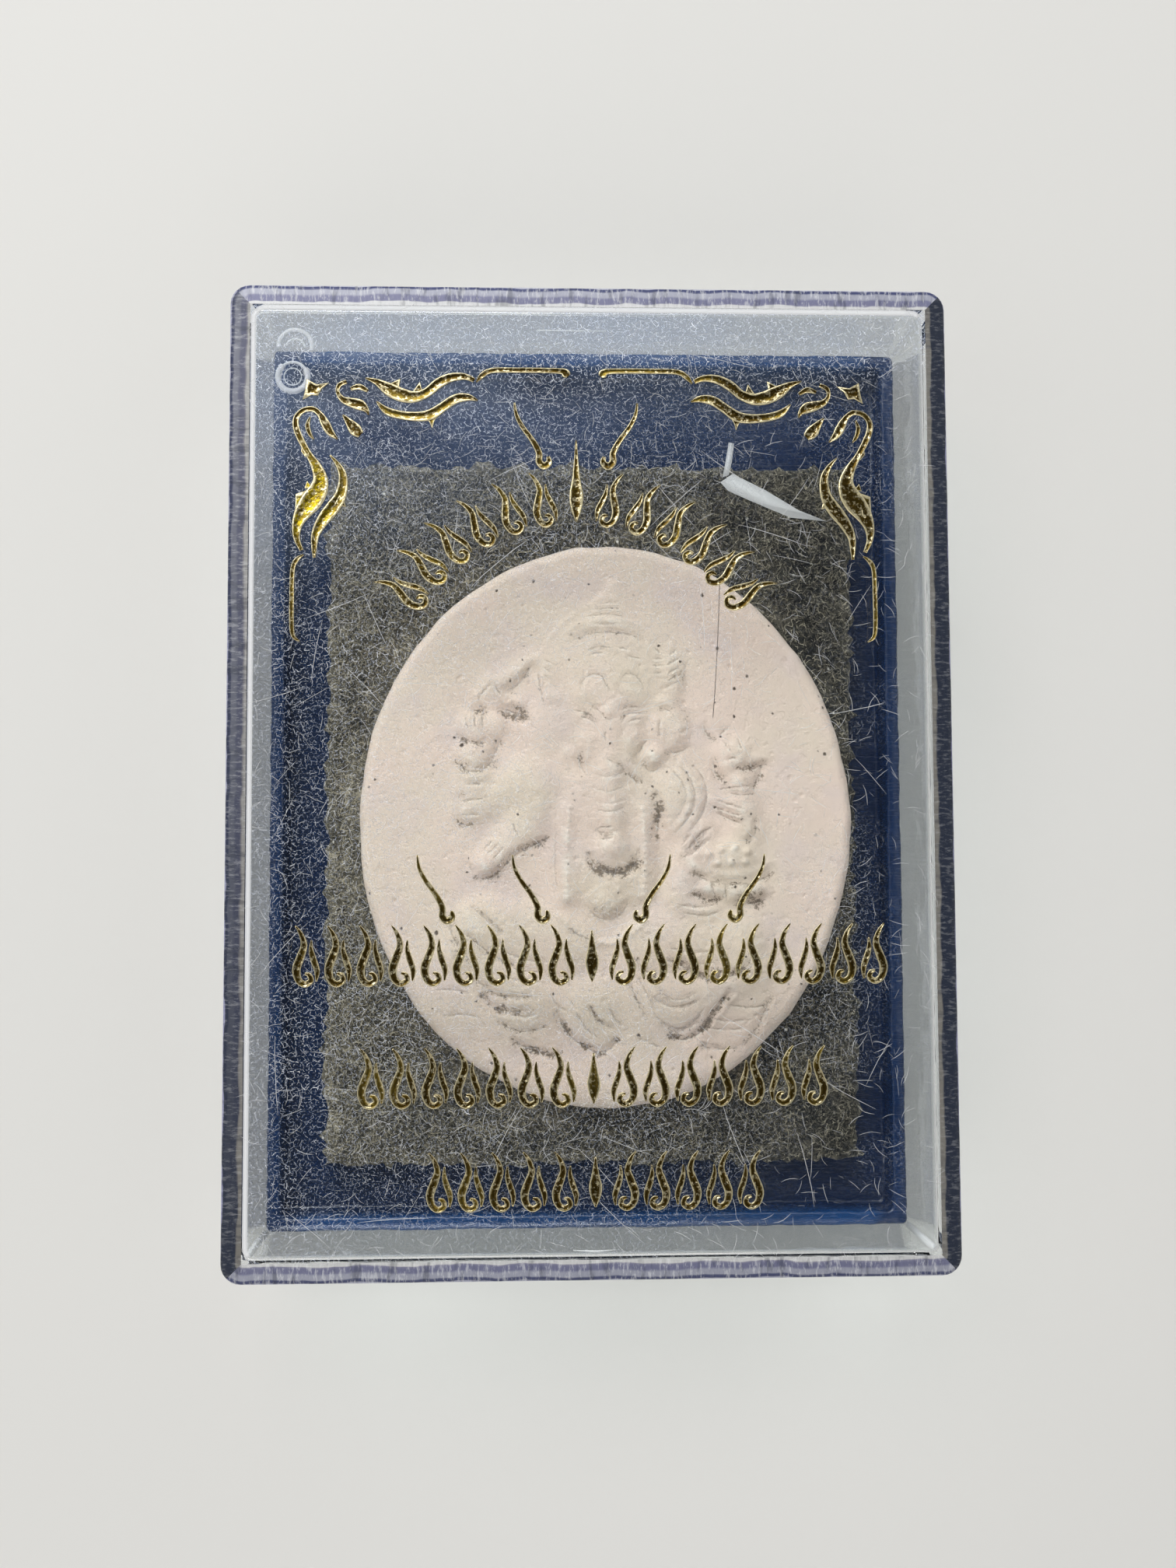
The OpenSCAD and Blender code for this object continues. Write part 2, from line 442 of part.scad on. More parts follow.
// The drop in the middle of a row, and the taller one of the arch
row_drop = [[0, 0, 0.04], [0, 0.35, 0.3], [0, 0.7, 0.42], [0, 1.1, 0.26], [0, 1.75, 0.04]];
arch_drop = [[0, 0, 0.04], [0, 0.5, 0.36], [0, 1.1, 0.5], [0, 1.9, 0.26], [0, 3.4, 0.04]];
// A tendril with a knob, in millimetres
tendril = [[-0.35, 0.4, 0.25], [-0.42, -0.1, 0.5], [0.0, -0.38, 0.6], [0.38, 0.0, 0.55], [0.38, 0.7, 0.5],
    [0.9, 1.7, 0.42], [1.7, 2.8, 0.36], [2.2, 3.8, 0.3], [2.35, 4.8, 0.12]];

// Mirrored by flip, k wide and h tall
function shaped(rows, k, h, flip) = [for (r = rows) [r[0] * k * flip, r[1] * h, r[2] * k]];
module flame(k, h, flip) {
    ribbon(shaped(flame_body, k, h, flip));
    ribbon(shaped(flame_leaf, k, h, flip));
}
// A row of flames that leans outwards from its middle, with a drop in the middle
module flame_row(half, k, h, mid) {
    translate(mid) {
        for (i = [1:half], flip = [-1, 1]) translate([flip * i * k, 0]) flame(k, h, flip);
        ribbon(shaped(row_drop, k, h, 1));
    }
}
module tendrils(at, h, mid) {
    for (x = at, flip = [-1, 1]) translate([mid[0] + flip * x, mid[1]]) ribbon(shaped(tendril, 1, h, flip));
}

// Flames that stand round the top of the amulet
arch_mid = [-1.2, 5.9];
arch_r = 14.4;
arch_half = 6;
arch_step = 9.6;
// Width and height of a flame of the arch and of its middle drop, and how high the two tendrils stand
arch_flame = [2.3, 2.2];
arch_drop_size = [2.2, 1.95];
arch_tendril_up = 4.9;
arch_tendril_out = 2.6;
module foil_arch() {
    foil() {
        for (i = [1:arch_half], flip = [-1, 1]) let (a = flip * i * arch_step)
            translate([arch_mid[0] + arch_r * sin(a), arch_mid[1] + arch_r * cos(a)])
                rotate(-a) flame(arch_flame[0], arch_flame[1], flip);
        translate([arch_mid[0], arch_mid[1] + arch_r])
            ribbon(shaped(arch_drop, arch_drop_size[0], arch_drop_size[1], 1));
        tendrils([arch_tendril_out], 1, [arch_mid[0], arch_mid[1] + arch_r + arch_tendril_up]);
    }
}
module foil_upper() {
    foil() {
        flame_row(9, 2.5, 2.3, [-0.1, -16.4]);
        tendrils([3.9, 11.4], 1, [-0.1, -11.2]);
    }
}
module foil_middle() {
    foil() flame_row(7, 2.5, 2.25, [0, -25.9]);
}
module foil_lower() {
    foil() flame_row(5, 2.45, 2.2, [0.1, -33.9]);
}

base();
pad();
amulet();
lid();
foil_corner_left();
foil_corner_right();
foil_arch();
foil_upper();
foil_middle();
foil_lower();
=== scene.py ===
"""Looks of the oval Ganesha amulet in its clear display case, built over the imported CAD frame."""

import json
import math
from types import SimpleNamespace

import bpy
import numpy as np
from mathutils import Matrix, Vector

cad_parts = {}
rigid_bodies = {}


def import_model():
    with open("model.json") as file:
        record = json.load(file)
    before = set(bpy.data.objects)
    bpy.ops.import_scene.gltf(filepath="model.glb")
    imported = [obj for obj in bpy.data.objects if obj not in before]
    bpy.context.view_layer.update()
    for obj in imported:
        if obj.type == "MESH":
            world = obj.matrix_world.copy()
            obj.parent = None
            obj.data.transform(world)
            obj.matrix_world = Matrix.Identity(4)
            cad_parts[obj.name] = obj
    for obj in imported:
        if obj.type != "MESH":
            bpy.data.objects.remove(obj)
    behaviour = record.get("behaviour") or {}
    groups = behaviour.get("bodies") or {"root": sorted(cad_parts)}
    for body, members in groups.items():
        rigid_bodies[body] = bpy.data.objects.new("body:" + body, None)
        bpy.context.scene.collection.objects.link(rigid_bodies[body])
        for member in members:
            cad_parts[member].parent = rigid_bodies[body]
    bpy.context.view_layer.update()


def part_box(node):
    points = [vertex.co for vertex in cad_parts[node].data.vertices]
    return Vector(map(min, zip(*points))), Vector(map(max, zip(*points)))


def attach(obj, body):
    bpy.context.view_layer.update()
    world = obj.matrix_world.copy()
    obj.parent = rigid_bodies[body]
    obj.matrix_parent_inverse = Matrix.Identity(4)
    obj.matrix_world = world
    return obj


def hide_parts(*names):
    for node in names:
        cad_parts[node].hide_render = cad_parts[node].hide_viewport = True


bl_info = {
    "name": "Amulet in Display Case",
    "version": (1, 0, 0),
    "blender": (4, 5, 0),
    "location": "View3D > Sidebar > Amulet",
    "description": "Pressed clay amulet on felt, in a navy tray under a clear lid with gold foil",
    "category": "Add Mesh",
}

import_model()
MM = 0.001
LID_LOW, LID_HIGH = (np.array(c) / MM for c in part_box("lid"))
TRAY_LOW, TRAY_HIGH = (np.array(c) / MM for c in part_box("base"))
PAD_LOW, PAD_HIGH = (np.array(c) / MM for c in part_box("pad"))
AMULET_LOW, AMULET_HIGH = (np.array(c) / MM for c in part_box("amulet"))
AMULET_MID = (AMULET_LOW + AMULET_HIGH) / 2
LID_W, LID_L, _ = LID_HIGH - LID_LOW
LID_TOP = LID_HIGH[2]
FOIL_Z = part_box("foil_upper")[0][2] / MM
FOIL_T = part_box("foil_upper")[1][2] / MM - FOIL_Z


# Fixed sizes and tables, in millimetres where no other unit is named

CELL = 0.08  # raster of the figure
ROUND_POWER = 5  # how squarely the figure's forms meet
DEEPEST = -0.3  # floor of the furrows
FINE_WIDER = 1.6  # fine lines are pressed wider than drawn
FINE_LOWER = 0.9  # and shallower
PITS = 170  # pits in the clay
CLAY_MARKS = ("figure", "grime", "worn", "crease", "ink")
PAD_CELLS = (150, 198)  # cells of the felt's surface, across and along
BENDS = 5  # points on a fibre or a scratch
ARC = 7  # points on each corner of a rounded outline
FILM_UNDER = 0.003  # where a film on the lid starts, outside the plastic
FILM_OVER = 0.012  # and where it ends
INNER_HIGHLIGHT = (1.72, 2.12)  # how far in from the lid's side the painted highlight of the inner edge starts and ends

# Figure on the amulet: x to the right, y towards the crown, from the oval's middle.
# Domes: x, y, half width, half height, turn, height above the plate
DOMES = [
    # crown and head
    (0.4, 12.5, 6.6, 6.5, 0, 1.1), (0.5, 11.3, 4.7, 4.5, 0, 1.5), (5.5, 12.6, 1.15, 2.7, 8, 1.25),
    (-4.8, 12.6, 1.1, 2.4, -8, 0.9), (0.3, 8.0, 3.7, 3.7, 0, 1.6), (-1.4, 7.1, 1.7, 1.9, 0, 1.75),
    (1.9, 7.1, 1.7, 1.9, 0, 1.85), (-1.6, 5.9, 1.0, 1.0, 0, 1.65), (1.7, 5.9, 0.9, 1.0, 0, 1.85),
    (3.9, 5.6, 1.05, 1.1, 0, 1.95), (-3.1, 5.9, 1.1, 1.0, 0, 1.2), (5.0, 8.0, 2.2, 2.8, 10, 1.25),
    (-4.5, 8.2, 2.7, 3.1, -10, 0.9), (0.6, -2.0, 2.1, 1.6, 0, 2.6),
    # chest, belly and pendant
    (0, 1.8, 5.4, 6.0, 0, 1.3), (0, -3.6, 4.6, 4.4, 0, 1.65), (-0.1, -6.2, 2.0, 2.0, 0, 1.85),
    # arms on the left
    (-6.2, 3.3, 3.5, 3.2, 20, 1.15), (-10.9, 8.4, 1.75, 1.1, 0, 1.3), (-9.2, 8.2, 1.1, 1.3, 0, 1.05),
    (-10.9, 5.7, 1.75, 1.35, 0, 1.4), (-9.6, 10.9, 1.0, 1.1, 0, 0.65), (-9.6, -3.1, 1.6, 1.3, 35, 1.75),
    # arms on the right
    (5.9, 1.8, 2.6, 3.7, 15, 1.4), (10.8, 6.0, 2.0, 1.5, 10, 1.45), (11.3, 3.9, 1.0, 1.1, 0, 1.5),
    (10.2, 4.9, 0.95, 1.0, -20, 1.5),
    # bowl of sweets
    (10.1, -2.9, 3.3, 2.0, 0, 1.9), (10.4, -5.2, 3.2, 1.8, 0, 1.6), (8.4, -5.3, 1.5, 1.0, 5, 1.9),
    (11.0, -5.5, 0.85, 1.0, 0, 1.9), (12.4, -5.6, 1.0, 0.75, -30, 1.85), (7.6, -7.2, 2.8, 1.3, -10, 1.5),
    # knees and the cloth between the legs
    (-10.7, -8.9, 2.8, 3.0, 0, 1.45), (11.2, -10.3, 2.8, 3.1, 0, 1.45), (-1.2, -15.6, 3.2, 3.5, 0, 1.35),
    (6.1, -14.6, 4.6, 3.6, 0, 1.15), (-7.0, -15.8, 4.9, 3.0, 12, 1.05),
]

# Limbs: x, y at the start, x, y at the end, radius at both, height at both
LIMBS = [
    # crown, brows, eyelids, trunk, tusk, ears
    (0.5, 16.5, 0.8, 20.1, 3.4, 0.6, 0.9, 0.5), (-1.9, 10.9, -0.9, 11.0, 1.1, 1.1, 1.5, 1.5),
    (1.5, 10.9, 2.4, 10.9, 1.1, 1.1, 1.5, 1.5), (0.2, 10.0, 0.4, 9.0, 1.3, 1.5, 1.6, 1.65),
    (-2.3, 9.0, -1.1, 8.6, 0.5, 0.45, 1.6, 1.7), (1.6, 8.5, 2.9, 8.9, 0.45, 0.5, 1.75, 1.65),
    (0.3, 9.2, 0.2, 4.6, 2.0, 1.9, 1.75, 2.0), (0.2, 4.6, 0.4, 1.0, 1.9, 1.55, 2.0, 2.15),
    (0.4, 1.0, 0.5, -1.6, 1.55, 1.65, 2.15, 2.45), (1.6, 5.2, 2.6, 4.0, 0.6, 0.45, 1.95, 1.65),
    (4.4, 10.2, 5.4, 10.2, 0.5, 0.5, 1.45, 1.35), (-5.0, 10.6, -4.0, 10.7, 0.55, 0.5, 1.15, 1.2),
    (5.5, 9.4, 6.5, 8.1, 0.5, 0.45, 1.35, 1.25), (6.5, 8.1, 5.6, 6.8, 0.45, 0.5, 1.25, 1.35),
    # garlands and arms
    (-3.2, 1.2, -3.3, -6.0, 1.1, 1.1, 1.35, 1.4), (3.1, 1.2, 3.1, -5.6, 1.1, 1.1, 1.35, 1.4),
    (-6.5, 3.6, -11.0, 1.4, 2.3, 1.7, 1.1, 0.95), (-11.2, 1.0, -10.9, 7.5, 1.55, 1.55, 1.05, 1.15),
    (-11.7, 4.1, -10.0, 4.2, 0.5, 0.5, 1.4, 1.35), (-11.5, 2.8, -10.4, 3.0, 0.5, 0.45, 1.3, 1.2),
    (-11.8, 1.4, -10.8, 1.4, 0.5, 0.45, 1.2, 1.15), (-8.6, 11.9, -6.0, 13.9, 0.8, 0.7, 0.95, 0.8),
    (-10.7, 10.6, -9.6, 12.1, 0.6, 0.6, 0.75, 0.8), (-9.6, 12.1, -8.4, 11.9, 0.6, 0.7, 0.8, 0.9),
    (-8.0, 10.2, -6.9, 10.2, 0.55, 0.5, 0.8, 0.75), (-5.6, 3.0, -6.8, -0.2, 2.7, 2.2, 1.15, 1.2),
    (-6.8, -0.2, -9.3, -2.9, 2.1, 1.6, 1.2, 1.2), (11.8, -0.6, 11.1, 3.4, 1.7, 1.5, 1.15, 1.25),
    (10.9, 5.15, 13.0, 5.5, 0.55, 0.45, 1.5, 1.15), (7.6, -1.0, 6.2, -6.2, 2.0, 1.7, 1.3, 1.35),
    # thighs, shins and seat
    (-3.6, -9.8, -10.2, -8.6, 3.3, 3.0, 1.2, 1.5), (3.8, -9.8, 10.8, -9.8, 3.3, 3.0, 1.2, 1.45),
    (-11.2, -10.2, -6.0, -14.9, 2.7, 2.4, 1.35, 1.25), (11.8, -11.8, 6.5, -15.2, 2.7, 2.5, 1.35, 1.2),
    (-12.6, -15.4, 12.4, -15.6, 3.4, 3.4, 0.45, 0.45),
]

# Broad ridges and furrows: half width, height, then x and y of every bend
STROKES = [
    # crown and face
    (0.52, -0.24, -2.5, 15.5, -1.5, 15.9, 0.2, 16.05, 1.8, 15.9, 2.9, 15.5),
    (0.46, 0.2, -1.9, 16.4, 0.2, 16.8, 2.2, 16.4),
    (0.46, -0.19, -1.1, 9.7, -0.5, 9.3, -0.1, 8.8, 0.5, 8.7, 1.0, 8.9),
    (0.46, -0.19, 1.2, 9.5, 2.0, 9.8, 3.0, 9.7), (0.52, -0.25, -2.2, 6.0, -2.1, 5.0, -1.8, 4.2),
    (0.52, -0.34, 1.2, 4.8, 1.9, 4.1, 2.7, 3.4), (0.46, -0.25, 3.0, 5.0, 3.7, 4.4, 4.5, 4.7),
    (0.46, -0.31, 4.7, 9.6, 5.4, 9.4), (0.46, -0.25, 5.1, 5.9, 6.0, 6.0, 6.9, 6.4),
    (0.4, -0.09, -2.4, 8.3, -2.8, 7.4, -2.5, 6.4), (0.46, -0.12, -1.2, -0.5, 0.0, -0.7, 1.0, -0.5),
    (0.69, -0.5, -1.4, -2.7, -0.7, -3.7, 0.6, -4.1, 1.9, -3.8, 2.6, -2.9),
    # chest, pendant and belt
    (0.46, -0.15, -4.2, -0.5, -4.3, -3.0, -4.1, -5.6), (0.69, -0.43, 4.2, 2.2, 4.4, 0.6, 4.2, -0.9),
    (0.52, -0.19, -1.6, -6.9, -0.8, -7.7, 0.2, -7.9, 1.2, -7.4, 1.7, -6.6),
    (0.52, 0.24, -4.0, -7.6, -2.3, -9.0, -1.0, -9.7, 0.5, -9.8, 2.0, -9.0, 3.2, -8.0),
    # arms on the left
    (0.57, -0.28, -6.2, 13.2, -7.0, 12.1, -8.0, 11.2), (0.92, -0.6, -8.5, 9.6, -7.8, 9.4, -7.1, 9.0),
    (0.57, -0.37, -10.9, 9.5, -10.3, 9.5), (0.52, -0.37, -12.2, 7.2, -11.2, 6.8, -10.2, 6.8),
    (0.52, -0.31, -12.4, 5.3, -11.8, 4.6, -10.9, 4.4, -9.9, 4.8, -9.4, 5.6, -8.9, 6.9),
    (0.57, -0.31, -12.2, 2.4, -12.2, 2.1), (0.57, -0.31, -12.4, 0.3, -11.8, -0.1, -11.0, 0.1),
    (0.63, -0.34, -5.0, -1.3, -6.4, -1.9, -7.9, -2.8, -8.8, -3.8, -9.6, -4.4, -10.6, -4.5),
    # arms and sash on the right
    (0.52, -0.37, 11.0, 4.5, 12.2, 4.6, 13.3, 5.0), (0.52, -0.31, 13.0, 4.5, 12.7, 3.8, 12.4, 3.1),
    (0.52, -0.31, 9.0, 5.2, 9.2, 4.3, 9.9, 3.5), (0.46, -0.25, 8.2, 8.1, 8.5, 7.5, 9.0, 7.0),
    (0.46, -0.22, 10.2, 2.6, 11.3, 2.4, 12.4, 2.5), (0.46, 0.24, 8.9, 2.1, 10.2, 1.7, 11.5, 1.0),
    (0.46, -0.28, 9.2, 1.0, 10.3, 0.4, 11.3, 0.0), (0.57, -0.31, 12.4, 0.2, 12.4, -0.8, 11.8, -1.4),
    (0.4, 0.2, 5.6, 4.5, 6.7, 3.4, 7.0, 2.0, 6.5, 0.6, 5.6, -0.5),
    (0.4, 0.2, 6.2, 5.2, 7.5, 3.8, 7.9, 2.0, 7.2, 0.2, 6.0, -1.0),
    (0.52, -0.25, 8.4, -0.6, 7.4, -1.8, 6.2, -2.9),
    # bowl of sweets
    (0.46, 0.32, 7.0, -3.3, 8.3, -3.95, 10.2, -4.25, 12.2, -4.0, 13.6, -3.3),
    (0.52, -0.31, 7.2, -4.2, 8.6, -4.8, 10.4, -5.05, 12.3, -4.85, 13.7, -4.2),
    (0.52, -0.31, 7.3, -5.9, 8.3, -6.3, 9.4, -6.3), (0.8, -0.43, 11.2, -6.6, 12.2, -6.6, 13.1, -6.2),
    # legs and cloth
    (0.4, -0.2, -11.1, -6.9, -9.9, -7.9, -8.7, -9.1), (0.46, -0.3, -13.0, -7.6, -12.9, -8.8, -12.3, -10.0),
    (0.4, -0.3, -11.7, -8.9, -10.2, -10.2, -8.9, -11.1, -7.9, -11.5),
    (0.4, -0.3, -10.9, -12.7, -9.9, -13.5, -8.9, -14.1, -6.4, -14.2),
    (0.46, -0.45, -10.3, -14.1, -9.6, -14.9, -8.4, -15.3, -6.4, -15.3),
    (0.36, -0.3, -8.9, -16.3, -7.4, -17.0, -5.9, -16.9, -5.1, -16.7),
    (0.5, -0.45, -7.7, -17.8, -6.4, -18.5, -4.9, -18.9, -4.1, -18.8),
    (0.4, -0.35, -12.6, -17.8, -11.7, -18.6, -10.6, -19.0),
    (0.5, -0.45, -4.1, -15.6, -3.7, -16.5, -2.9, -17.6, -1.9, -18.3, -0.9, -18.8, 0.1, -18.6, 0.8, -17.9),
    (0.36, -0.35, -1.4, -15.1, -1.0, -15.9, -0.3, -16.5, 0.4, -16.8),
    (0.36, -0.25, 1.9, -13.3, 2.4, -14.5, 3.2, -15.9), (0.3, -0.2, 2.6, -12.8, 3.4, -14.3, 3.8, -15.3),
    (0.3, -0.22, 4.1, -13.6, 5.1, -14.4, 6.1, -14.5, 7.2, -14.0),
    (0.3, -0.22, 4.2, -14.2, 5.2, -15.0, 6.4, -15.1, 7.6, -14.5),
    (0.36, -0.3, 4.6, -16.5, 5.4, -17.1, 6.6, -16.9, 7.6, -16.1),
    (0.46, -0.5, 5.2, -17.5, 6.4, -17.8, 7.4, -17.4, 8.2, -16.6, 8.8, -15.6, 9.5, -14.7, 10.1, -13.9),
    (0.4, 0.25, 7.9, -17.5, 8.8, -16.5, 9.5, -15.4, 10.5, -14.3),
    (0.7, -0.4, 5.6, -11.3, 7.1, -12.3, 8.6, -12.7, 10.6, -12.5, 11.6, -11.8),
    (0.4, -0.35, 2.4, -11.3, 3.1, -12.1, 4.1, -12.6), (0.36, -0.3, -3.0, -8.7, -2.0, -9.3, -1.0, -9.6),
    (0.4, -0.3, 7.8, -18.4, 9.6, -18.6, 11.6, -18.4, 13.1, -17.6),
    (0.57, -0.25, 13.5, -14.4, 12.9, -15.9, 12.1, -17.3, 10.8, -18.7),
]

# Fine lines that only the pressed surface carries: half width, height, then x and y of every bend
FINE_LINES = [
    # crown hoops and side ornaments
    (0.16, 0.14, -3.4, 15.9, -2.4, 16.6, -1.0, 17.0, 0.5, 17.05, 2.2, 16.9, 3.6, 16.1),
    (0.14, -0.1, -0.9, 16.75, 0.9, 16.75), (0.14, -0.08, -1.6, 17.35, 0.2, 17.6, 1.8, 17.3),
    (0.14, -0.08, -1.0, 18.0, 0.4, 18.1, 1.4, 18.0), (0.14, -0.08, -0.4, 18.5, 0.5, 18.6, 1.2, 18.5),
    (0.15, -0.1, -1.6, 14.5, -0.6, 14.8, 0.4, 14.75), (0.14, -0.09, -1.2, 14.2, -0.3, 14.3),
    (0.14, -0.09, 1.2, 14.7, 1.9, 14.6), (0.14, -0.08, 1.8, 14.1, 2.9, 13.8),
    (0.2, 0.08, -5.9, 13.5, -4.9, 15.2, -3.6, 16.8, -1.8, 18.2, -0.1, 19.2, 0.7, 20.3),
    (0.2, 0.06, 0.8, 20.2, 2.0, 18.8, 4.0, 17.4, 5.4, 15.8, 6.3, 13.6, 6.5, 11.4),
    (0.16, -0.16, 5.2, 12.5, 6.2, 13.2), (0.16, -0.16, 5.1, 12.0, 6.4, 12.6),
    (0.16, -0.16, 5.0, 11.4, 6.2, 12.0), (0.16, -0.16, 5.1, 13.3, 6.1, 13.9),
    (0.16, -0.14, 5.3, 14.1, 5.9, 14.6), (0.13, -0.1, 4.0, 13.8, 4.8, 13.9),
    (0.13, -0.1, 4.0, 13.2, 4.8, 13.3), (0.13, -0.1, 4.0, 12.6, 4.7, 12.7),
    (0.13, -0.1, 4.1, 14.7, 4.6, 14.3), (0.13, -0.08, -5.2, 13.8, -4.5, 13.4),
    (0.13, -0.08, -5.2, 13.1, -4.5, 12.7), (0.13, -0.08, -5.1, 12.4, -4.5, 12.0),
    (0.18, -0.12, -5.7, 12.6, -5.4, 11.2, -5.2, 10.0),
    # brows, eyes, cheeks
    (0.16, -0.12, -2.2, 11.1, -1.9, 12.0, -1.2, 12.5, -0.5, 12.4, -0.1, 11.9, 0.4, 11.0),
    (0.16, -0.1, 1.2, 12.0, 1.7, 12.5, 2.5, 12.4, 3.0, 11.7, 3.2, 10.9),
    (0.18, -0.2, -2.5, 9.5, -1.7, 9.3, -1.1, 8.8), (0.15, -0.14, -2.0, 8.95, -1.4, 8.7, -0.9, 8.4),
    (0.18, -0.22, 1.3, 8.5, 1.7, 9.1, 2.3, 9.3, 3.0, 9.25), (0.15, -0.14, 1.8, 8.45, 2.4, 8.7, 2.9, 8.75),
    (0.16, -0.14, -0.1, 7.6, -0.1, 7.0), (0.16, -0.08, 1.3, 7.9, 1.2, 7.0),
    (0.18, -0.1, 0.0, 5.3, 1.3, 4.9), (0.18, 0.1, 4.2, 8.8, 4.2, 7.4), (0.16, 0.1, 4.7, 8.7, 4.7, 7.1),
    (0.16, -0.12, 4.45, 8.6, 4.4, 7.2), (0.18, -0.16, 2.7, 5.7, 3.1, 6.6, 3.4, 6.9),
    (0.16, -0.14, 6.1, 7.6, 6.8, 7.9),
    # trunk rings
    (0.18, -0.07, -1.3, 4.2, 0.1, 3.9, 1.5, 4.3), (0.16, -0.06, -1.2, 3.0, 0.2, 2.7, 1.5, 3.1),
    (0.16, -0.06, -1.0, 1.9, 0.3, 1.7, 1.5, 2.0), (0.16, -0.06, -0.9, 1.2, 0.4, 1.0, 1.5, 1.4),
    (0.16, -0.18, -0.8, -0.3, 0.4, -0.25), (0.16, -0.18, -0.7, -0.8, 0.5, -0.75),
    (0.16, -0.18, -0.6, -1.2, 0.5, -1.15),
    # hands and bangles
    (0.15, -0.16, -11.6, 3.3, -10.3, 3.4), (0.15, -0.12, -12.0, 1.9, -10.3, 2.1),
    (0.15, -0.12, -11.8, 0.8, -10.6, 0.8), (0.16, -0.16, -11.7, 8.9, -11.5, 8.0),
    (0.16, -0.16, -11.0, 9.1, -10.9, 8.1), (0.16, -0.16, -10.3, 9.0, -10.3, 8.0),
    (0.14, -0.12, -10.7, 10.4, -10.1, 11.2, -9.5, 11.8), (0.14, -0.12, -9.3, 11.6, -8.8, 10.9),
    (0.15, -0.14, -8.6, -1.9, -9.4, -2.9), (0.15, -0.14, -9.0, -1.6, -9.9, -2.5),
    (0.15, -0.12, -9.5, -1.4, -10.3, -2.2), (0.16, -0.12, -11.4, -3.1, -11.0, -4.1),
    (0.16, -0.14, -7.8, 0.1, -7.4, -0.9), (0.15, -0.14, 9.3, 2.0, 11.5, 1.2),
    (0.15, -0.14, 8.8, 1.5, 11.3, 0.6), (0.15, -0.16, 10.1, 5.4, 11.0, 5.5),
    (0.15, -0.12, 9.8, 6.9, 10.4, 6.0), (0.15, -0.12, 11.0, 7.1, 11.3, 6.2),
    (0.15, -0.12, 9.5, 7.4, 10.3, 8.2), (0.15, -0.12, 9.3, 2.9, 12.2, 3.2),
    # sash
    (0.16, -0.07, 5.2, 4.7, 6.2, 3.6, 6.6, 2.2, 6.1, 0.9, 5.4, 0.1),
    (0.16, -0.08, 5.9, 5.0, 7.0, 3.8, 7.4, 2.2, 6.8, 0.5, 5.8, -0.6),
    (0.16, -0.07, 6.6, 5.4, 7.9, 4.2, 8.4, 2.4, 7.8, 0.5, 6.5, -1.0),
    (0.15, -0.18, 6.6, -2.2, 7.2, -1.5, 8.0, -0.7, 8.8, -0.3),
    (0.15, -0.18, 6.8, -2.7, 7.8, -1.9, 8.6, -1.2), (0.15, -0.12, 6.3, -1.7, 7.0, -0.9),
    # bowl petals and fingers
    (0.16, -0.16, 8.6, -4.9, 8.9, -5.9), (0.16, -0.16, 9.8, -5.1, 9.9, -6.2),
    (0.16, -0.16, 11.7, -5.0, 11.8, -6.0), (0.15, -0.14, 6.0, -6.7, 7.6, -6.9, 9.0, -6.7),
    (0.15, -0.12, 6.4, -7.4, 8.0, -7.6, 9.3, -7.3),
    # legs and folds
    (0.15, -0.12, -10.6, -7.0, -9.6, -7.9, -8.4, -9.1),
    (0.15, -0.12, -8.9, -11.2, -7.2, -12.0, -5.4, -12.2),
    (0.15, -0.12, -9.2, -12.0, -7.6, -12.8, -5.4, -13.0),
    (0.15, -0.12, -8.6, -10.4, -7.0, -11.1, -5.6, -11.3),
    (0.15, -0.14, -8.0, -15.6, -6.8, -15.8, -5.9, -15.6),
    (0.15, -0.1, -14.0, -13.6, -12.6, -13.6, -11.4, -13.9),
    (0.15, -0.1, -13.2, -15.7, -11.8, -15.6, -10.6, -15.9), (0.16, -0.12, -12.4, -17.4, -11.4, -18.5),
    (0.15, -0.12, -4.6, -14.2, -4.1, -14.9, -3.4, -15.4),
    (0.15, -0.12, -2.6, -15.5, -1.7, -16.9, -0.8, -17.6), (0.15, -0.12, 0.2, -15.0, 0.7, -16.1, 1.4, -16.6),
    (0.15, -0.12, -3.2, -14.4, -2.6, -15.2), (0.15, -0.12, 3.6, -13.9, 4.3, -14.7, 5.8, -15.1, 7.3, -14.6),
    (0.15, -0.12, 3.9, -15.7, 4.8, -16.6, 6.1, -16.9, 7.2, -16.2, 8.0, -15.2),
    (0.15, -0.1, 9.7, -14.9, 11.4, -15.2, 13.2, -15.1), (0.15, -0.1, 8.6, -16.0, 10.0, -16.3, 11.9, -16.2),
    (0.15, -0.1, 8.0, -16.8, 10.0, -17.0, 11.4, -16.9), (0.15, -0.1, 7.6, -18.0, 9.5, -18.4),
    (0.16, -0.14, 2.6, -17.7, 3.4, -18.0, 4.3, -18.4), (0.15, -0.1, 4.6, -11.2, 6.6, -11.6, 8.8, -11.5),
    (0.15, -0.1, 5.0, -10.2, 7.0, -10.6, 9.2, -10.5),
]

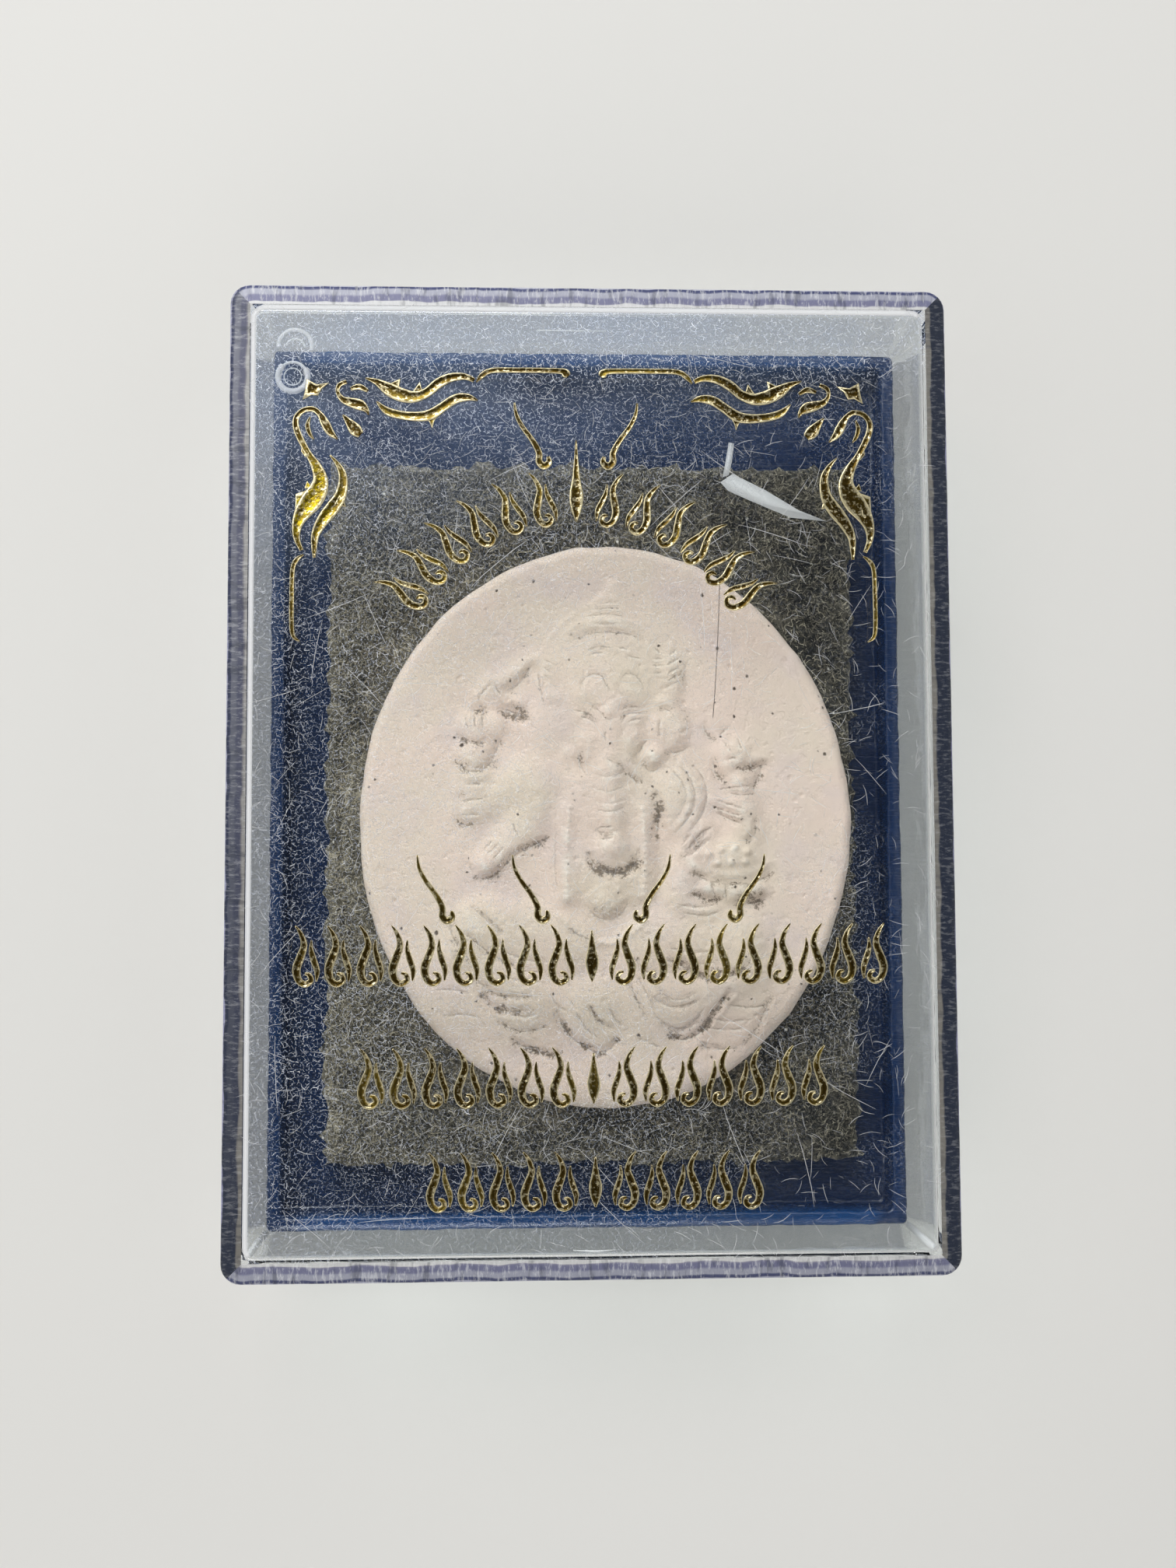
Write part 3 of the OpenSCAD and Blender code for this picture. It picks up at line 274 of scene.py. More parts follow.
# Strings of beads: bead radius, height, spacing, then x and y of every bend
BEADS = [
    (0.24, 0.16, 0.5, -3.0, 1.4, -3.3, -2.0, -3.3, -6.2), (0.24, 0.16, 0.5, 3.0, 1.2, 3.2, -2.0, 3.1, -5.6),
    (0.22, 0.16, 0.46, -4.0, -7.6, -2.3, -9.0, -1.0, -9.7, 0.5, -9.8, 2.0, -9.0, 3.2, -8.0),
    (0.26, 0.2, 0.58, 9.4, 1.1, 10.4, 0.7, 11.4, 0.4), (0.18, 0.12, 0.4, -1.2, -5.6, 0.0, -5.0, 1.1, -5.6),
    (0.4, 0.3, 1.15, 8.4, -2.5, 9.6, -2.1, 10.8, -2.0, 12.2, -2.5),
    (0.36, 0.26, 1.2, 9.1, -3.3, 10.4, -3.2, 12.4, -3.2),
]

# More grime and painted shade than the furrows hold: half width, strength, then x and y of every bend
GRIME_AND_SHADE_LINES = [
    (0.6, 0.5, -2.6, 15.7, 0.3, 16.0, 3.0, 15.7), (0.6, 0.55, -2.4, 9.2, -1.0, 8.8),
    (0.5, 0.5, 1.4, 9.0, 3.2, 9.3), (0.4, 0.5, 6.8, 8.4, 6.6, 9.4, 5.8, 10.2),
    (0.5, 0.6, 6.3, 10.8, 6.4, 13.2), (0.6, 0.6, -7.8, 11.4, -6.4, 13.2),
    (0.45, 0.6, -12.2, 5.2, -11.4, 4.8), (0.5, 0.5, -9.2, 4.8, -8.9, 6.8), (0.6, 0.8, 12.8, 4.4, 13.0, 4.0),
    (0.7, 0.4, 10.1, 2.7, 12.6, 2.5), (0.6, 0.5, 9.8, 8.0, 10.3, 7.3), (0.8, 0.45, 6.6, -2.6, 8.6, -0.5),
    (0.8, 0.5, -1.1, -6.6, -0.2, -7.3, 0.8, -7.3, 1.4, -6.6), (0.8, 0.8, 11.1, -6.1, 13.4, -5.8),
    (0.8, 0.75, -13.1, -7.6, -12.8, -9.1, -12.3, -10.5, -11.8, -11.5),
    (0.6, 0.6, -11.5, -9.2, -10.2, -10.2, -8.9, -11.1), (1.0, 0.8, 5.6, -11.4, 7.1, -12.3, 10.6, -12.5),
    (0.6, 0.5, 13.0, -14.8, 13.1, -16.6), (0.5, 0.6, -2.4, -17.8, -1.0, -18.7, 0.6, -18.2),
]

# Left foil corner on the lid, in the case's own x and y: the outline of its star as rows of x, y, and its
# strokes as rows of x, y, width
STAR = [(-22.8, 31.8), (-22, 31.35), (-21, 31.5), (-21.6, 31), (-21.9, 30.45), (-22.4, 30.5), (-23.1, 30.1),
        (-22.9, 30.9)]
CORNER_STROKES = [
    [(-19.6, 31.6, 0.3), (-20.2, 31.3, 0.35), (-20.3, 30.7, 0.3), (-19.9, 30.15, 0.5), (-19.2, 29.9, 0.75),
        (-18.5, 29.7, 0.85), (-18, 29.3, 0.4), (-17.85, 28.9, 0.1)],
    [(-19.3, 31, 0.25), (-18.6, 31.2, 0.45), (-17.9, 30.85, 0.25)],
    [(-18.1, 31.9, 0.1), (-17.2, 31.6, 0.5), (-16.2, 31, 1.05), (-15.2, 30.55, 1.1), (-14.2, 30.4, 0.9),
        (-13.2, 30.75, 0.75), (-12.3, 31.5, 0.8), (-11.3, 32, 0.7), (-10.2, 32.1, 0.5), (-9.4, 31.8, 0.35)],
    [(-9.2, 31.65, 0.1), (-8.8, 32.15, 0.4), (-8, 32.6, 0.4), (-6, 32.65, 0.4), (-4, 32.65, 0.4),
        (-2.4, 32.6, 0.45), (-2, 32.4, 0.7), (-1.8, 32.2, 0.4)],
    [(-17.2, 30, 0.1), (-16.4, 29.25, 0.6), (-15.2, 28.9, 0.65), (-13.8, 28.8, 0.75), (-12.8, 29, 0.85),
        (-11.9, 29.6, 0.75), (-10.9, 30.25, 0.75), (-9.9, 30.4, 0.55), (-9.1, 30.15, 0.1)],
    [(-19.9, 28.9, 0.1), (-19.4, 28.3, 0.6), (-18.9, 27.7, 1), (-18.45, 27.3, 0.6)],
    [(-20.3, 26.9, 0.1), (-20.9, 27.5, 0.6), (-21.3, 28.2, 0.7), (-21.7, 28.9, 0.45), (-22.3, 29.35, 0.4),
        (-23.1, 29.2, 0.4), (-23.6, 28.6, 0.45), (-23.6, 27.8, 0.5), (-23.2, 26.8, 0.5), (-22.6, 25.7, 0.5),
        (-22, 24.7, 0.8), (-21.65, 23.7, 1.15), (-21.8, 22.8, 1.5), (-22.35, 21.9, 1.7), (-23, 21, 1.35),
        (-23.45, 20, 0.85), (-23.5, 18.9, 0.5), (-23.1, 17.9, 0.3)],
    [(-22.95, 17.55, 0.1), (-23.5, 17.1, 0.35), (-23.8, 16.3, 0.35), (-23.85, 14, 0.35), (-23.85, 12, 0.35),
        (-23.7, 11, 0.3), (-23.2, 10.6, 0.1)],
    [(-22.5, 28.7, 0.1), (-22.7, 28, 0.35), (-22.5, 27.3, 0.3), (-22.2, 26.9, 0.1)],
    [(-20.9, 25.6, 0.1), (-20.3, 24.9, 0.35), (-19.9, 24.1, 0.6), (-19.85, 23.2, 0.75), (-20.1, 22.2, 0.95),
        (-20.7, 21.3, 1.1), (-21.45, 20.3, 0.95), (-22, 19.2, 0.65), (-22.1, 18.2, 0.45), (-22.1, 17.3, 0.2)],
]
CORNER_MID = -0.5  # where the left corner is mirrored
# Thorns on the corner's strokes: rows of x, y
THORNS = [
    [(-16.7, 31.2), (-16.2, 31.45), (-15.3, 31.9), (-15.4, 31.3), (-15.6, 30.9)],
    [(-14.4, 30.7), (-14.05, 31.2), (-13.75, 31.65), (-13.6, 31.1), (-13.4, 30.7)],
    [(-13.4, 28.85), (-13.0, 28.4), (-12.75, 27.85), (-12.6, 28.4), (-12.3, 28.95)],
    [(-23.15, 26.3), (-23.2, 25.9), (-22.85, 25.45), (-22.5, 25.8)],
    [(-22.9, 22.9), (-22.7, 23.5), (-22.3, 23.0)],
    [(-22.6, 22.8), (-23.6, 22.45), (-23.65, 21.0), (-23.0, 20.6)],
    [(-20.15, 22.4), (-19.75, 21.9), (-19.6, 21.4), (-20.1, 21.55), (-20.6, 21.5)],
]
# A flame and a drop for the middle of a row, one unit wide, and a tendril in millimetres: rows of x, y,
# width
FLAME = [
    [(0, 0.33, 0.07), (-0.14, 0.28, 0.15), (-0.19, 0.09, 0.18), (0, -0.03, 0.2), (0.2, 0.13, 0.22),
        (0.26, 0.5, 0.26), (0.13, 0.92, 0.25), (0.03, 1.3, 0.2), (0.13, 1.68, 0.13), (0.3, 1.95, 0.04)],
    [(-0.36, 0.06, 0.05), (-0.38, 0.42, 0.17), (-0.27, 0.8, 0.19), (-0.19, 1.14, 0.14), (-0.2, 1.46, 0.04)],
]
DROP = [(0, 0, 0.04), (0, 0.35, 0.3), (0, 0.7, 0.42), (0, 1.1, 0.26), (0, 1.75, 0.04)]
TALL_DROP = [(0, 0, 0.04), (0, 0.5, 0.36), (0, 1.1, 0.5), (0, 1.9, 0.26), (0, 3.4, 0.04)]
TENDRIL = [(-0.35, 0.4, 0.25), (-0.42, -0.1, 0.5), (0, -0.38, 0.6), (0.38, 0, 0.55), (0.38, 0.7, 0.5),
        (0.9, 1.7, 0.42), (1.7, 2.8, 0.36), (2.2, 3.8, 0.3), (2.35, 4.8, 0.12)]
# Rows of flames: name, flames to each side, their width and height, the row's middle, and how far out its
# tendrils stand
FLAME_ROWS = [("upper", 9, 2.5, 2.3, (-0.1, -16.4), (3.9, 11.4)), ("middle", 7, 2.5, 2.25, (0, -25.9), ()),
    ("lower", 5, 2.45, 2.2, (0.1, -33.9), ())]
# The arch of flames: middle, radius, degrees from flame to flame, flames to each side
ARCH_MID = (-1.2, 5.9)
ARCH_R = 14.4
ARCH_STEP = 9.6
ARCH_HALF = 6
# Section of a foil stroke from its left foot over the raised rims to its right foot: share of half width,
# share of height, rim; and of a patch from its foot inwards: share of its reach, share of height, rim
SECTION = [(-1.0, 0.0, 1.0), (-1.0, 0.75, 1.0), (-0.84, 1.0, 1.0), (-0.5, 0.45, 0.3), (0.0, 0.2, 0.0),
    (0.5, 0.45, 0.3), (0.84, 1.0, 1.0), (1.0, 0.75, 1.0), (1.0, 0.0, 1.0)]
PATCH_SECTION = [(1.0, 0.0, 1.0), (1.0, 0.75, 1.0), (0.86, 1.0, 1.0), (0.5, 0.45, 0.2)]
LIT_HOOK = (-23.2, 22.2, 16.6)  # the hook of foil that is painted as turned to the light

# Under the lid's top: ejector rings in a corner, as thickness and arc, gate marks by the walls, as thickness
# and points, both drawn white as painted highlights; and the crack
EJECTOR_RINGS = [(0.24, (-24.1, 32.4, 1.2, 2.2, 6.9)), (0.12, (-24.1, 32.4, 1.2)), (0.05, (-24.1, 32.4, 0.7)),
    (0.2, (-23.9, 34.9, 1.35, -0.3, 3.3)), (0.1, (-23.9, 34.7, 0.8, 0.1, 2.8))]
GATE_MARKS = [(0.08, [(-4.3, 35.0), (-4.3, 36.4), (1.3, 36.4), (1.3, 35.0)]),
    (0.1, [(-1.6, -37.5), (0.1, -37.6), (1.7, -37.5)])]
CRACK_FLAKES = [
    [(11.3, 27.2), (11.75, 27.1), (11.55, 25.6), (11.3, 24.5), (10.75, 24.3), (11.05, 25.7)],
    [(10.6, 23.9), (11.6, 24.6), (14.2, 23.3), (17.0, 21.6), (19.3, 20.7), (16.3, 21.0), (13.0, 22.4),
        (11.2, 23.2)],
]
CRACK_LINE = [(10.85, 23.6), (10.6, 19.5), (10.45, 15.5), (10.25, 11.0), (10.0, 7.0), (9.8, 4.6)]
# How much painted light the lid's rubbed edge gets at both ends of its back, left, front and right side
EDGE_PAINTED_LIGHT = [(0.9, 0.7), (0.0, 0.35), (0.6, 0.55), (0.0, 0.0)]

# Stage: half the floor's side, colours of the sky, and lamps as name, place and size in metres, watts, colour
FLOOR_HALF = 1500.0
SKY = "#DEDFE0"
SKY_OVERHEAD = "#4A4C50"
SKY_STRENGTH = 0.76
OVERHEAD_FROM = 0.78  # how far up the sky starts to darken, where 1 is straight up
OVERHEAD_FULL = 0.93
LAMPS = [("window", (-0.2, 0.38, 0.46), (0.5, 0.3), 2.4, "#FFFFFF"),
    ("fill", (-0.1, -0.45, 0.35), (0.5, 0.4), 0.55, "#FFF8F0")]
# Camera fitted to the case's edges in the photo: its place, the ways ahead and up, the focal length and the
# photo's width in pixels, and the sensor's width
CAMERA_AT = (-5.13, -9.05, 142.55)
CAMERA_AHEAD = (0.0378, 0.0653, -0.9971)
CAMERA_UP = (0.0018, 0.9979, 0.0654)
FOCAL_PIXELS = 2046
PHOTO_PIXELS = 1512
SENSOR = 36.0


# Small helpers

def linear(code):
    """An sRGB hex colour as linear RGBA."""
    c = np.array([int(code[i:i + 2], 16) / 255 for i in (1, 3, 5)])
    c = np.where(c <= 0.04045, c / 12.92, ((c + 0.055) / 1.055) ** 2.4)
    return (*[float(v) for v in c], 1.0)


def node(tree, kind, inputs=None, **settings):
    """Adds a node with its settings and inputs; a node given as an input links its first open output."""
    n = tree.nodes.new(kind)
    for key, value in settings.items():
        setattr(n, key, value)
    for key, value in (inputs or {}).items():
        socket = next((i for i in n.inputs if i.identifier == key and i.enabled), None) or n.inputs[key]
        if isinstance(value, bpy.types.Node):
            value = next(o for o in value.outputs if o.enabled)
        if isinstance(value, bpy.types.NodeSocket):
            tree.links.new(value, socket)
        else:
            socket.default_value = value
    return n


def new_material(name):
    """An empty material, its tree and the piece's own coordinates."""
    m = bpy.data.materials.new(name)
    m.use_nodes = True
    m.node_tree.nodes.clear()
    return m, m.node_tree, node(m.node_tree, "ShaderNodeTexCoord").outputs["Object"]


def finished(m, shader):
    """The material with its surface set."""
    node(m.node_tree, "ShaderNodeOutputMaterial", {"Surface": shader})
    return m


def patches(tree, place, per_mm, low, high, least=0.0, most=1.0, detail=3.0, rough=0.55):
    """Soft-edged patches about 1 / per_mm millimetres wide, from least to most."""
    cloud = node(tree, "ShaderNodeTexNoise", {"Vector": place, "Scale": per_mm / MM, "Detail": detail,
        "Roughness": rough})
    return node(tree, "ShaderNodeMapRange", {"Value": cloud, "From Min": low, "From Max": high,
        "To Min": least, "To Max": most}, interpolation_type="SMOOTHSTEP")


def specks(tree, place, per_mm, radius, share):
    """Round specks in a share of the cells 1 / per_mm millimetres wide; radius is in cells."""
    cell = node(tree, "ShaderNodeTexVoronoi", {"Vector": place, "Scale": per_mm / MM})
    near = node(tree, "ShaderNodeMapRange", {"Value": cell.outputs["Distance"], "From Min": radius * 0.4,
        "From Max": radius, "To Min": 1.0, "To Max": 0.0}, interpolation_type="SMOOTHSTEP")
    some = node(tree, "ShaderNodeMapRange", {"Value": cell.outputs["Color"], "From Min": 0.96 - share,
        "From Max": 0.98 - share})
    return node(tree, "ShaderNodeMath", {0: near, 1: some}, operation="MULTIPLY")


def line_at(tree, distance, half, soft=0.4):
    """1 along the line where distance is 0, falling to 0 half a line's width away."""
    off = node(tree, "ShaderNodeMath", {0: distance}, operation="ABSOLUTE")
    return node(tree, "ShaderNodeMapRange", {"Value": off, "From Min": half * soft, "From Max": half,
        "To Min": 1.0, "To Max": 0.0}, interpolation_type="SMOOTHSTEP")


def curled(tree, place, per_mm, reach):
    """Coordinates bent into curls about 1 / per_mm millimetres wide, by up to reach millimetres."""
    bend = node(tree, "ShaderNodeTexNoise", {"Vector": place, "Scale": per_mm / MM, "Detail": 1.0})
    bend = node(tree, "ShaderNodeVectorMath", {0: bend.outputs["Color"], 1: (0.5,) * 3}, operation="SUBTRACT")
    bend = node(tree, "ShaderNodeVectorMath", {0: bend, "Scale": 2 * reach * MM}, operation="SCALE")
    return node(tree, "ShaderNodeVectorMath", {0: place, 1: bend}, operation="ADD")


def hairlines(tree, place, per_mm, turn, width, kept):
    """Curly hairlines in short lengths, round cells 1 / per_mm millimetres wide; width is in millimetres."""
    laid = node(tree, "ShaderNodeMapping", {"Vector": curled(tree, place, 0.9 * per_mm, 0.4 / per_mm),
        "Location": (turn, 0, 0), "Rotation": (0, 0, turn)})
    net = node(tree, "ShaderNodeTexVoronoi", {"Vector": laid, "Scale": per_mm / MM},
        feature="DISTANCE_TO_EDGE", voronoi_dimensions="2D")
    return node(tree, "ShaderNodeMath", {0: line_at(tree, net, width * per_mm / 2, 0.3),
        1: patches(tree, laid, 1.8 * per_mm, kept, kept + 0.05, detail=1.0)}, operation="MULTIPLY")


def painted(tree, colour, *layers):
    """Colours laid over each other, each with its share."""
    for share, over in layers:
        colour = node(tree, "ShaderNodeMix", {"Factor_Float": share, "A_Color": colour, "B_Color": over},
            data_type="RGBA")
    return colour


def banded(tree, value, first, *bands):
    """Colours that follow each other as value grows, each from its own place in millimetres."""
    layers = []
    for at, soft, colour in bands:
        share = node(tree, "ShaderNodeMapRange", {"Value": value, "From Min": (at - soft) * MM,
            "From Max": (at + soft) * MM}, interpolation_type="SMOOTHSTEP")
        layers.append((share, colour))
    return painted(tree, first, *layers)


def plain_mesh(name, verts, faces):
    """A mesh from millimetres."""
    mesh = bpy.data.meshes.new(name)
    mesh.from_pydata((np.asarray(verts, float) * MM).tolist(), [], [list(map(int, f)) for f in faces])
    return mesh


def linked(name, data):
    """An object in the scene."""
    o = bpy.data.objects.new(name, data)
    bpy.context.scene.collection.objects.link(o)
    return o


def mesh_piece(name, verts, faces, material, sharp=None, attributes=None):
    """A mesh object from millimetres, with smooth faces and sharp edges past the given angle."""
    mesh = plain_mesh(name, verts, faces)
    mesh.validate()
    mesh.materials.append(material)
    mesh.shade_smooth()
    if sharp:
        mesh.set_sharp_from_angle(angle=math.radians(sharp))
    for key, values in (attributes or {}).items():
        mesh.attributes.new(key, "FLOAT", "POINT").data.foreach_set("value", np.asarray(values, np.float32))
    return linked(name, mesh)


def settle(piece, slot, *nodes, film=False):
    """Gives a finished piece to the case's body, and hides the CAD nodes it replaces.

    A film on the lid is seen from outside alone: light passes it on its way in and out. The slot is not used.
    """
    for way in ("shadow", "diffuse", "glossy", "transmission"):
        setattr(piece, "visible_" + way, not film)
    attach(piece, "root")
    if nodes:
        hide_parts(*nodes)


def new_tree(name, sockets):
    """A geometry tree with named inputs after its geometry, and one geometry output."""
    tree = bpy.data.node_groups.new(name, "GeometryNodeTree")
    for key, kind in (("Geometry", "Geometry"), *sockets):
        tree.interface.new_socket(key, in_out="INPUT", socket_type="NodeSocket" + kind)
    tree.interface.new_socket("Geometry", in_out="OUTPUT", socket_type="NodeSocketGeometry")
    return tree, node(tree, "NodeGroupInput").outputs


def grown(source, tree, name, values, helpers):
    """Runs a geometry tree on a mesh and keeps the result as a plain mesh; tree and helpers are removed."""
    holder = linked(name, source)
    mod = holder.modifiers.new("grow", "NODES")
    mod.node_group = tree
    for item in tree.interface.items_tree:
        if item.in_out == "INPUT" and item.name in values:
            mod[item.identifier] = values[item.name]
    graph = bpy.context.evaluated_depsgraph_get()
    mesh = bpy.data.meshes.new_from_object(holder.evaluated_get(graph))
    mesh.name = name
    for o in (holder, *helpers):
        bpy.data.objects.remove(o)
    bpy.data.node_groups.remove(tree)
    return linked(name, mesh)


def rounded(w, l, r):
    """Outline of a rectangle with round corners, anticlockwise from its right upper corner."""
    points = []
    for k, (sx, sy) in enumerate(((1, 1), (-1, 1), (-1, -1), (1, -1))):
        for i in range(ARC):
            a = math.radians(90 * k + 90 * i / (ARC - 1))
            points.append((sx * (w / 2 - r) + r * math.cos(a), sy * (l / 2 - r) + r * math.sin(a)))
    return np.array(points)


def ring_at(w, l, r, z):
    """A rounded outline at one height; a corner keeps a trace of roundness, so that no points meet."""
    outline = rounded(w, l, max(r, 0.05))
    return np.column_stack([outline, np.full(len(outline), z)])


def shell(rings):
    """A closed shell from rings of (width, length, corner radius, z), each end capped in a level border."""
    first, last = rings[0], rings[-1]
    border = 0.4
    rings = [(first[0] - border, first[1] - border, *first[2:]), *rings,
        (last[0] - border, last[1] - border, *last[2:])]
    n = 4 * ARC
    verts = np.vstack([ring_at(*ring) for ring in rings])
    faces = [list(range(n))[::-1], [(len(rings) - 1) * n + i for i in range(n)]]
    for a in range(0, (len(rings) - 1) * n, n):
        faces += [[a + i, a + (i + 1) % n, a + n + (i + 1) % n, a + n + i] for i in range(n)]
    return verts, faces


def edge_strip(side, w, l, r, section):
    """A closed strip along one side of the lid, from mid corner to mid corner, of (inset, z) rows."""
    pick = (np.arange(ARC + 1) + ARC * side + ARC // 2) % (4 * ARC)
    m, n = len(pick), len(section)
    verts = np.vstack([ring_at(w - 2 * inset, l - 2 * inset, r - inset, z)[pick] for inset, z in section])
    faces = [[p * m + i, p * m + i + 1, (p + 1) % n * m + i + 1, (p + 1) % n * m + i]
        for p in range(n) for i in range(m - 1)]
    return verts, faces + [[p * m for p in range(n)], [p * m + m - 1 for p in range(n)][::-1]]


def joined(parts):
    """Several verts and faces as one."""
    verts, faces, start = [], [], 0
    for v, f in parts:
        verts.append(np.asarray(v, float))
        faces += [[i + start for i in face] for face in f]
        start += len(v)
    return np.vstack(verts), faces


def grid_faces(nx, ny):
    """Faces of a grid of nx by ny cells, and its border as one path."""
    i, j = np.meshgrid(np.arange(nx), np.arange(ny))
    a = (j * (nx + 1) + i).ravel()
    border = [k for k in range(nx)] + [k * (nx + 1) + nx for k in range(ny)]
    border += [ny * (nx + 1) + k for k in range(nx, 0, -1)] + [k * (nx + 1) for k in range(ny, 0, -1)]
    return np.column_stack([a, a + 1, a + nx + 2, a + nx + 1]), border


def between(field, j, i, v, u):
    """A field's values between its points, at shares v and u of the way from row j and column i."""
    return (field[j, i] * (1 - u) * (1 - v) + field[j, i + 1] * u * (1 - v)
        + field[j + 1, i] * (1 - u) * v + field[j + 1, i + 1] * u * v)


def smooth_rows(rows, steps=4):
    """Points on a smooth curve through rows."""
    rows = np.asarray(rows, float)
    n = len(rows)
    out = []
    for i in range(n - 1):
        a, b, c, d = rows[max(i - 1, 0)], rows[i], rows[i + 1], rows[min(i + 2, n - 1)]
        for t in np.arange(steps) / steps:
            out.append((2 * b + (c - a) * t + (2 * a - 5 * b + 4 * c - d) * t * t
                + (3 * b - a - 3 * c + d) * t ** 3) / 2)
    return np.array(out + [rows[-1]])


def arc(x, y, radius, start=0.0, end=2 * math.pi, steps=49):
    """Points on a flat arc."""
    a = np.linspace(start, end, steps)
    return np.column_stack([x + radius * np.cos(a), y + radius * np.sin(a)])


def tube(points, radius, sides=3):
    """A thin tube along points, its ends closed to a tip."""
    points = np.asarray(points, float)
    n = len(points)
    ahead = np.gradient(points, axis=0)
    ahead /= np.linalg.norm(ahead, axis=1)[:, None]
    side = np.cross(ahead, [0.0, 0.0, 1.0])
    side /= np.maximum(np.linalg.norm(side, axis=1)[:, None], 1e-6)
    up = np.cross(side, ahead)
    verts = []
    for k in range(n):
        r = radius * (0.35 if k in (0, n - 1) else 1.0)
        for a in np.arange(sides) * 2 * math.pi / sides:
            verts.append(points[k] + r * (math.cos(a) * side[k] + math.sin(a) * up[k]))
    faces = [[k + q, k + (q + 1) % sides, k + sides + (q + 1) % sides, k + sides + q]
        for k in range(0, (n - 1) * sides, sides) for q in range(sides)]
    return np.array(verts), faces + [list(range(sides))[::-1], [(n - 1) * sides + q for q in range(sides)]]


def slab(outline, z, t):
    """A thin flat flake."""
    n = len(outline)
    turn = sum(a[0] * b[1] - b[0] * a[1] for a, b in zip(outline, np.roll(outline, -1, axis=0)))
    pts = outline if turn > 0 else outline[::-1]
    verts = [(x, y, z) for x, y in pts] + [(x, y, z + t) for x, y in pts]
    faces = [list(range(n))[::-1], [n + i for i in range(n)]]
    return verts, faces + [[i, (i + 1) % n, n + (i + 1) % n, n + i] for i in range(n)]


# The figure's surface

def along_line(x, y, points):
    """Least distance from each x, y to a line through points, how far along it lies, and on which side."""
    points = np.asarray(points, float)
    if points[-1, 0] < points[0, 0]:
        points = points[::-1]
    runs = np.hypot(*np.diff(points, axis=0).T)
    best = np.full(x.shape, 1e9)
    where, side = np.zeros(x.shape), np.ones(x.shape)
    start = 0.0
    for a, b, run in zip(points[:-1], points[1:], runs):
        d = b - a
        s = np.clip(((x - a[0]) * d[0] + (y - a[1]) * d[1]) / max(run * run, 1e-9), 0, 1)
        gap = np.hypot(x - a[0] - s * d[0], y - a[1] - s * d[1])
        near = gap < best
        best = np.where(near, gap, best)
        where = np.where(near, (start + s * run) / max(runs.sum(), 1e-9), where)
        side = np.where(near, np.where(d[0] * (y - a[1]) < d[1] * (x - a[0]), -1.0, 1.0), side)
        start += run
    return best, where, side


